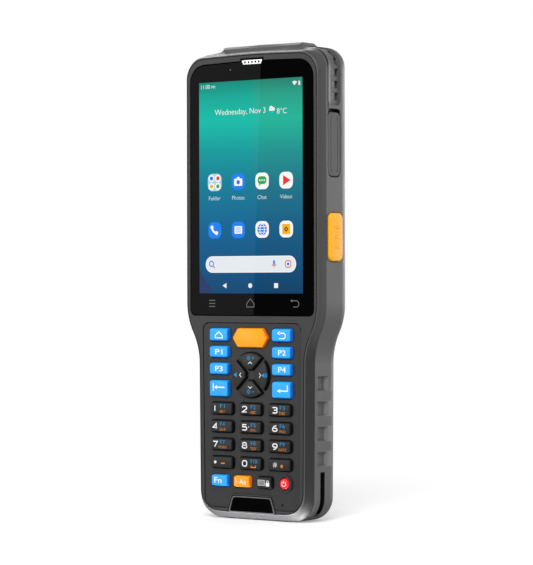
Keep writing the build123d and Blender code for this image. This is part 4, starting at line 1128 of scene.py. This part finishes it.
def digit_on_key(digit, across):
    """A number of thin strokes, beside the middle of its key."""
    width, height = number_size
    faces = []
    for stroke in digit_strokes[digit]:
        faces += ribbon([((x - 0.5) * width, (z - 0.5) * height) for x, z in stroke], number_line)
    sign_on_key("number_" + digit, faces, digit, print_white, (across, 0.0))


number_offsets = (-3.0, -2.55, -1.85)
function_offsets = (0.75, 1.85, 1.85)
function_up, function_height, function_width = 0.95, 1.6, 2.4
letters_up, letters_height, letter_pitch = -1.2, 1.2, 0.9
letters = ("@./", "ABC", "DEF", "GHI", "JKL", "MNO", "PQRS", "TUV", "WXYZ")
for number, word in enumerate(letters):
    digit = str(number + 1)
    column = number % 3
    digit_on_key(digit, number_offsets[column])
    on_key("function_" + digit, "F" + digit, digit, (function_offsets[column], function_up),
           function_height, function_width, print_blue)
    on_key("letters_" + digit, word, digit, (function_offsets[column], letters_up),
           letters_height, letter_pitch * len(word) + 0.3, print_orange)
sign_on_key("home_nub", [ring_of((0, 0), 0.2, 16)], "5", print_white, (-0.45, 0.2))
print("number keys with letters", len(letters))

# %% [markdown]
# The lowest row of numbers has a dot with a dash, a zero with a space mark, and a hash with a star.

# %% Dot, zero and hash keys
dot_across, zero_across, hash_across = number_offsets
digit_on_key("0", zero_across)
on_key("function_0", "F10", "0", (2.15, function_up), function_height, function_width + 0.8, print_blue)
sign_on_key("space_mark", ribbon([(-1.1, 0.4), (-1.1, -0.3), (1.1, -0.3), (1.1, 0.4)], 0.42), "0",
            print_orange, (1.85, -1.15))
sign_on_key("dot_mark", [ring_of((0, 0), 0.6)], "dot", print_white, (dot_across, 0.0))
sign_on_key("dash_mark", ribbon([(-0.15, -0.4), (1.95, -0.4)], 0.5), "dot", print_orange)
hash_line = 0.26
for number, side in enumerate((-1, 1)):
    post = [(side * 0.4 - 0.15, -1.0), (side * 0.4 + 0.15, 1.0)]
    bar = [(-1.0, side * 0.36), (1.0, side * 0.36)]
    for name, line in (("post", post), ("bar", bar)):
        sign_on_key("hash_%s_%d" % (name, number), ribbon(line, hash_line), "hash", print_white,
                    (hash_across, 0.0))
star_points = 5
tip_reach, notch_reach = 0.95, 0.42
star = []
for point in range(2 * star_points):
    reach = tip_reach if point % 2 == 0 else notch_reach
    angle = math.pi / 2 + math.pi * point / star_points
    star.append((reach * math.cos(angle), reach * math.sin(angle)))
sign_on_key("star_mark", [star], "hash", print_orange, (1.5, -0.45))
print("dot, zero and hash printed")

# %% [markdown]
# The blue keys carry white signs for home, back, tab and enter and the names of four free keys.

# %% Signs on the blue keys
left_shift, right_shift = 0.2, 0.5
sign_line = 0.42
arrow_line = 0.5
bold = 0.012
home_offset, back_offset = (left_shift, -0.15), (right_shift, -0.15)
free_name_size = (2.2, 3.8)
sign_on_key("home_roof", ribbon(house(1.85, -1.2, -0.2, 1.25), sign_line, closed=True), "home",
            print_white, home_offset)
sign_on_key("back_hook", ribbon(hook(0.6, 1.1, -1.4, -1.4), sign_line), "back", print_white, back_offset)
sign_on_key("back_point", [[(-2.3, 1.0), (-0.9, 1.9), (-0.9, 0.1)]], "back", print_white, back_offset)
for number, offset in ((1, (left_shift, -0.05)), (2, (right_shift, 0.0)),
                       (3, (left_shift, 0.0)), (4, (right_shift, 0.1))):
    on_key("name_p%d" % number, "P%d" % number, "p%d" % number, offset, *free_name_size, print_white, bold)
raised = (0.0, 0.5)
sign_on_key("tab_bar", ribbon([(-2.7, -1.6), (-2.7, 1.6)], arrow_line), "tab", print_white, raised)
sign_on_key("tab_line", ribbon([(-0.8, 0), (3.1, 0)], arrow_line), "tab", print_white, raised)
sign_on_key("tab_point", [[(-2.2, 0), (-0.8, 0.9), (-0.8, -0.9)]], "tab", print_white, raised)
sign_on_key("enter_line", ribbon([(3.15, 1.5), (3.15, -0.8), (-0.4, -0.8)], arrow_line), "enter",
            print_white, raised)
sign_on_key("enter_point", [[(-2.1, -0.8), (-0.4, 0.05), (-0.4, -1.65)]], "enter", print_white, raised)
print("blue keys printed")

# %% [markdown]
# The arrow ring carries four white chevrons. The upper and lower keys also have a blue sun for
# brightness, with a plus or a minus, and the left and right keys a horn for the sound.

# %% Signs on the arrow ring
ring_offset = (0.35, 0.05)
chevron_line = 0.28
chevron = [(4.55, 0.9), (5.35, 0.0), (4.55, -0.9)]
for turn, key in enumerate(arrow_keys):
    angle = math.radians(90 * turn)
    shape = [(x * math.cos(angle) - z * math.sin(angle), x * math.sin(angle) + z * math.cos(angle))
             for x, z in chevron]
    sign_on_key("chevron_" + key, ribbon(shape, chevron_line), key, print_white, ring_offset)

sun_rays = 8
sun_radius = 0.42
ray_ends = (0.72, 1.02)
ray_line = 0.24
level_line = 0.28
for key, up in (("up", 7.0), ("down", -6.7)):
    sun = (-0.45, up)
    level = (1.8, up)
    sign_on_key("sun_" + key, ribbon(ring_of((0, 0), sun_radius, 20), 0.26, closed=True), key,
                print_blue, sun)
    for ray in range(sun_rays):
        angle = 2 * math.pi * ray / sun_rays
        ends = [(reach * math.cos(angle), reach * math.sin(angle)) for reach in ray_ends]
        sign_on_key("ray_%s_%d" % (key, ray), ribbon(ends, ray_line), key, print_blue, sun)
    sign_on_key("level_" + key, ribbon([(-0.5, 0), (0.5, 0)], level_line), key, print_blue, level)
    if key == "up":
        for number, side in enumerate((-1, 1)):
            arm = [(0, side * 0.15), (0, side * 0.5)]
            sign_on_key("level_%s_%d" % (key, number), ribbon(arm, level_line), key, print_blue, level)

horn = [(-0.9, 0.4), (-0.3, 0.4), (0.35, 1.05), (0.35, -1.05), (-0.3, -0.4), (-0.9, -0.4)]
left_horn, right_horn = (-6.9, 0.05), (7.2, 0.05)
sign_on_key("horn_left", [horn], "left", print_blue, left_horn)
sign_on_key("horn_right", [horn], "right", print_blue, right_horn)
for number, reach in enumerate((0.75, 1.25)):
    wave = arc_points((0.3, 0), reach, -50, 50, 8)
    sign_on_key("wave_%d" % number, ribbon(wave, ray_line), "right", print_blue, right_horn)
print("arrow ring printed with", sun_rays, "rays to a sun")

# %% [markdown]
# The bottom row: the blue shift, the orange letter shift, the keyboard lock and the red power key.

# %% Signs on the bottom row
on_key("name_fn", "Fn", "fn", (-0.7, 0.1), 2.4, 3.7, print_white, bold)
on_key("name_alpha", "1·Aa", "alpha", (-0.2, 0.0), 2.2, 5.3, print_white, weight=0.0)
board = (-1.25, 0.0)
sign_on_key("keyboard_frame", ribbon(rectangle((0, 0), 3.2, 2.0), 0.22, closed=True), "lock",
            print_white, board)
for row, up in enumerate((0.5, 0.0, -0.5)):
    for column, across in enumerate((-1.1, -0.55, 0.0, 0.55, 1.1)):
        sign_on_key("keyboard_dot_%d_%d" % (row, column), [tile_outline((across, up), 0.3, 0.26, 0.05)],
                    "lock", print_white, board)
padlock = (1.85, -0.35)
shackle = [(-0.52, 0.42)] + arc_points((0, 0.75), 0.52, 180, 0, 10) + [(0.52, 0.42)]
sign_on_key("padlock_body", [tile_outline((0, -0.3), 1.75, 1.5, 0.2)], "lock", print_white, padlock)
sign_on_key("padlock_shackle", ribbon(shackle, 0.3), "lock", print_white, padlock)
power = (0.05, 0.0)
power_line = 0.3
sign_on_key("power_ring", ribbon(arc_points((0, 0), 1.0, 125, 415, 24), power_line), "power",
            print_white, power)
sign_on_key("power_bar", ribbon([(0, 0.2), (0, 1.25)], power_line), "power", print_white, power)
print("bottom row printed")

# %% [markdown]
# ## Floor
# The terminal stands on a pale matt floor. Near its foot the floor shows the soft shadow, and away
# from it the floor turns into plain white light, so no horizon is seen. Only the camera sees that
# change: to every other ray the floor is matt, so its white light doesn't reach the terminal.

# %% Floor
floor_size = 6.0
fade_reach = 0.38
pale = (0.8, 0.8, 0.8, 1.0)
white = (1.0, 1.0, 1.0, 1.0)
floor_lift = 0.28

floor_mesh = bmesh.new()
bmesh.ops.create_grid(floor_mesh, x_segments=2, y_segments=2, size=floor_size / 2)
floor_data = bpy.data.meshes.new("floor")
floor_mesh.to_mesh(floor_data)
floor_mesh.free()
floor = bpy.data.objects.new("floor", floor_data)
bpy.context.scene.collection.objects.link(floor)


def floor_paint(start):
    """Pale and matt near the terminal, turning into plain white light away from it."""
    reach = start.node("VectorMath", {"operation": "LENGTH"}, {0: place_on(start)}, "Value")
    far = start.node("MapRange", {"interpolation_type": "SMOOTHSTEP"},
                     {"Value": reach, "From Min": 0.0, "From Max": fade_reach})
    matt = start.node("BsdfDiffuse", inputs={"Color": pale})
    lift = start.node("Emission", inputs={"Color": white, "Strength": floor_lift})
    lifted = start.node("AddShader", inputs={0: matt, 1: lift})
    lit_white = start.node("Emission", inputs={"Color": white, "Strength": 1.0})
    faded = start.node("MixShader", inputs={0: far, 1: lifted, 2: lit_white})
    seen = start.node("LightPath", output="Is Camera Ray")
    return start.node("MixShader", inputs={0: seen, 1: matt, 2: faded})


floor.data.materials.append(new_finish("floor", floor_paint))
print("floor", floor_size, "m wide, white from", fade_reach, "m")

# %% [markdown]
# ## Background
# The background is plain white to the camera, in mirror reflections and through glass. To all other
# rays it is a weaker fill light, because the lamps are meant to shape the terminal.

# %% Background
sky_fill = 0.5
world = bpy.data.worlds.new("world")
bpy.context.scene.world = world
world.use_nodes = True
world.node_tree.nodes.clear()
sky = Shade(world.node_tree)
seen = sky.node("LightPath", output="Is Camera Ray")
mirrored = sky.node("LightPath", output="Is Glossy Ray")
passing = sky.node("LightPath", output="Is Transmission Ray")
shown = either(seen, either(mirrored, passing))
fill = sky.node("Background", inputs={"Color": white, "Strength": sky_fill})
bright = sky.node("Background", inputs={"Color": white, "Strength": 1.0})
sky.node("OutputWorld", inputs={"Surface": sky.node("MixShader", inputs={0: shown, 1: fill, 2: bright})})
print("background fills at", sky_fill)

# %% [markdown]
# ## Lamps
# Large soft boxes give the broad, even reflections that plastic needs. A tall narrow one stands far to
# the front left, and its straight edge shows in the glass. The brightest hangs above the right front
# and throws the soft shadow. A weak one lifts the right side, one behind traces the back edge, and one
# above the back left lights the slopes of the top. A narrow lamp under the foot stands for the light
# that a white table throws up onto its bevel, and the camera doesn't see it. Places are in metres.

# %% Lamps
def soft_box(name, place, turn, width, height, radiance):
    """A rectangular lamp of a given brightness; unturned, it looks straight down."""
    data = bpy.data.lights.new(name, "AREA")
    data.shape = "RECTANGLE"
    data.size = width
    data.size_y = height
    data.energy = radiance * math.pi * width * height
    lamp = bpy.data.objects.new(name, data)
    lamp.location = place
    lamp.rotation_euler = [math.radians(angle) for angle in turn]
    bpy.context.scene.collection.objects.link(lamp)
    return lamp


soft_box("front_box", (-0.885, -1.0, 0.18), (90, 2.2, 0), width=0.3, height=0.68, radiance=7.2)
soft_box("right_box", (1.25, -0.25, 0.35), (80, 0, 78), width=0.5, height=0.7, radiance=0.7)
soft_box("edge_box", (0.3, 1.25, 0.2), (86, 0, 166), width=0.7, height=0.36, radiance=7.0)
soft_box("key_box", (0.45, -0.9, 0.95), (50, 0, 27), width=0.6, height=0.45, radiance=15.0)
soft_box("back_box", (-0.72, 0.73, 0.75), (60, 0, 225), width=0.5, height=0.3, radiance=4.2)
foot_box = soft_box("foot_box", (0.002, -0.0095, 0.0004), (180, 0, 0), width=0.06, height=0.006,
                    radiance=6.5)
foot_box.visible_camera = False
foot_box.data.spread = math.radians(70)
print("lamps", len(bpy.data.lights))
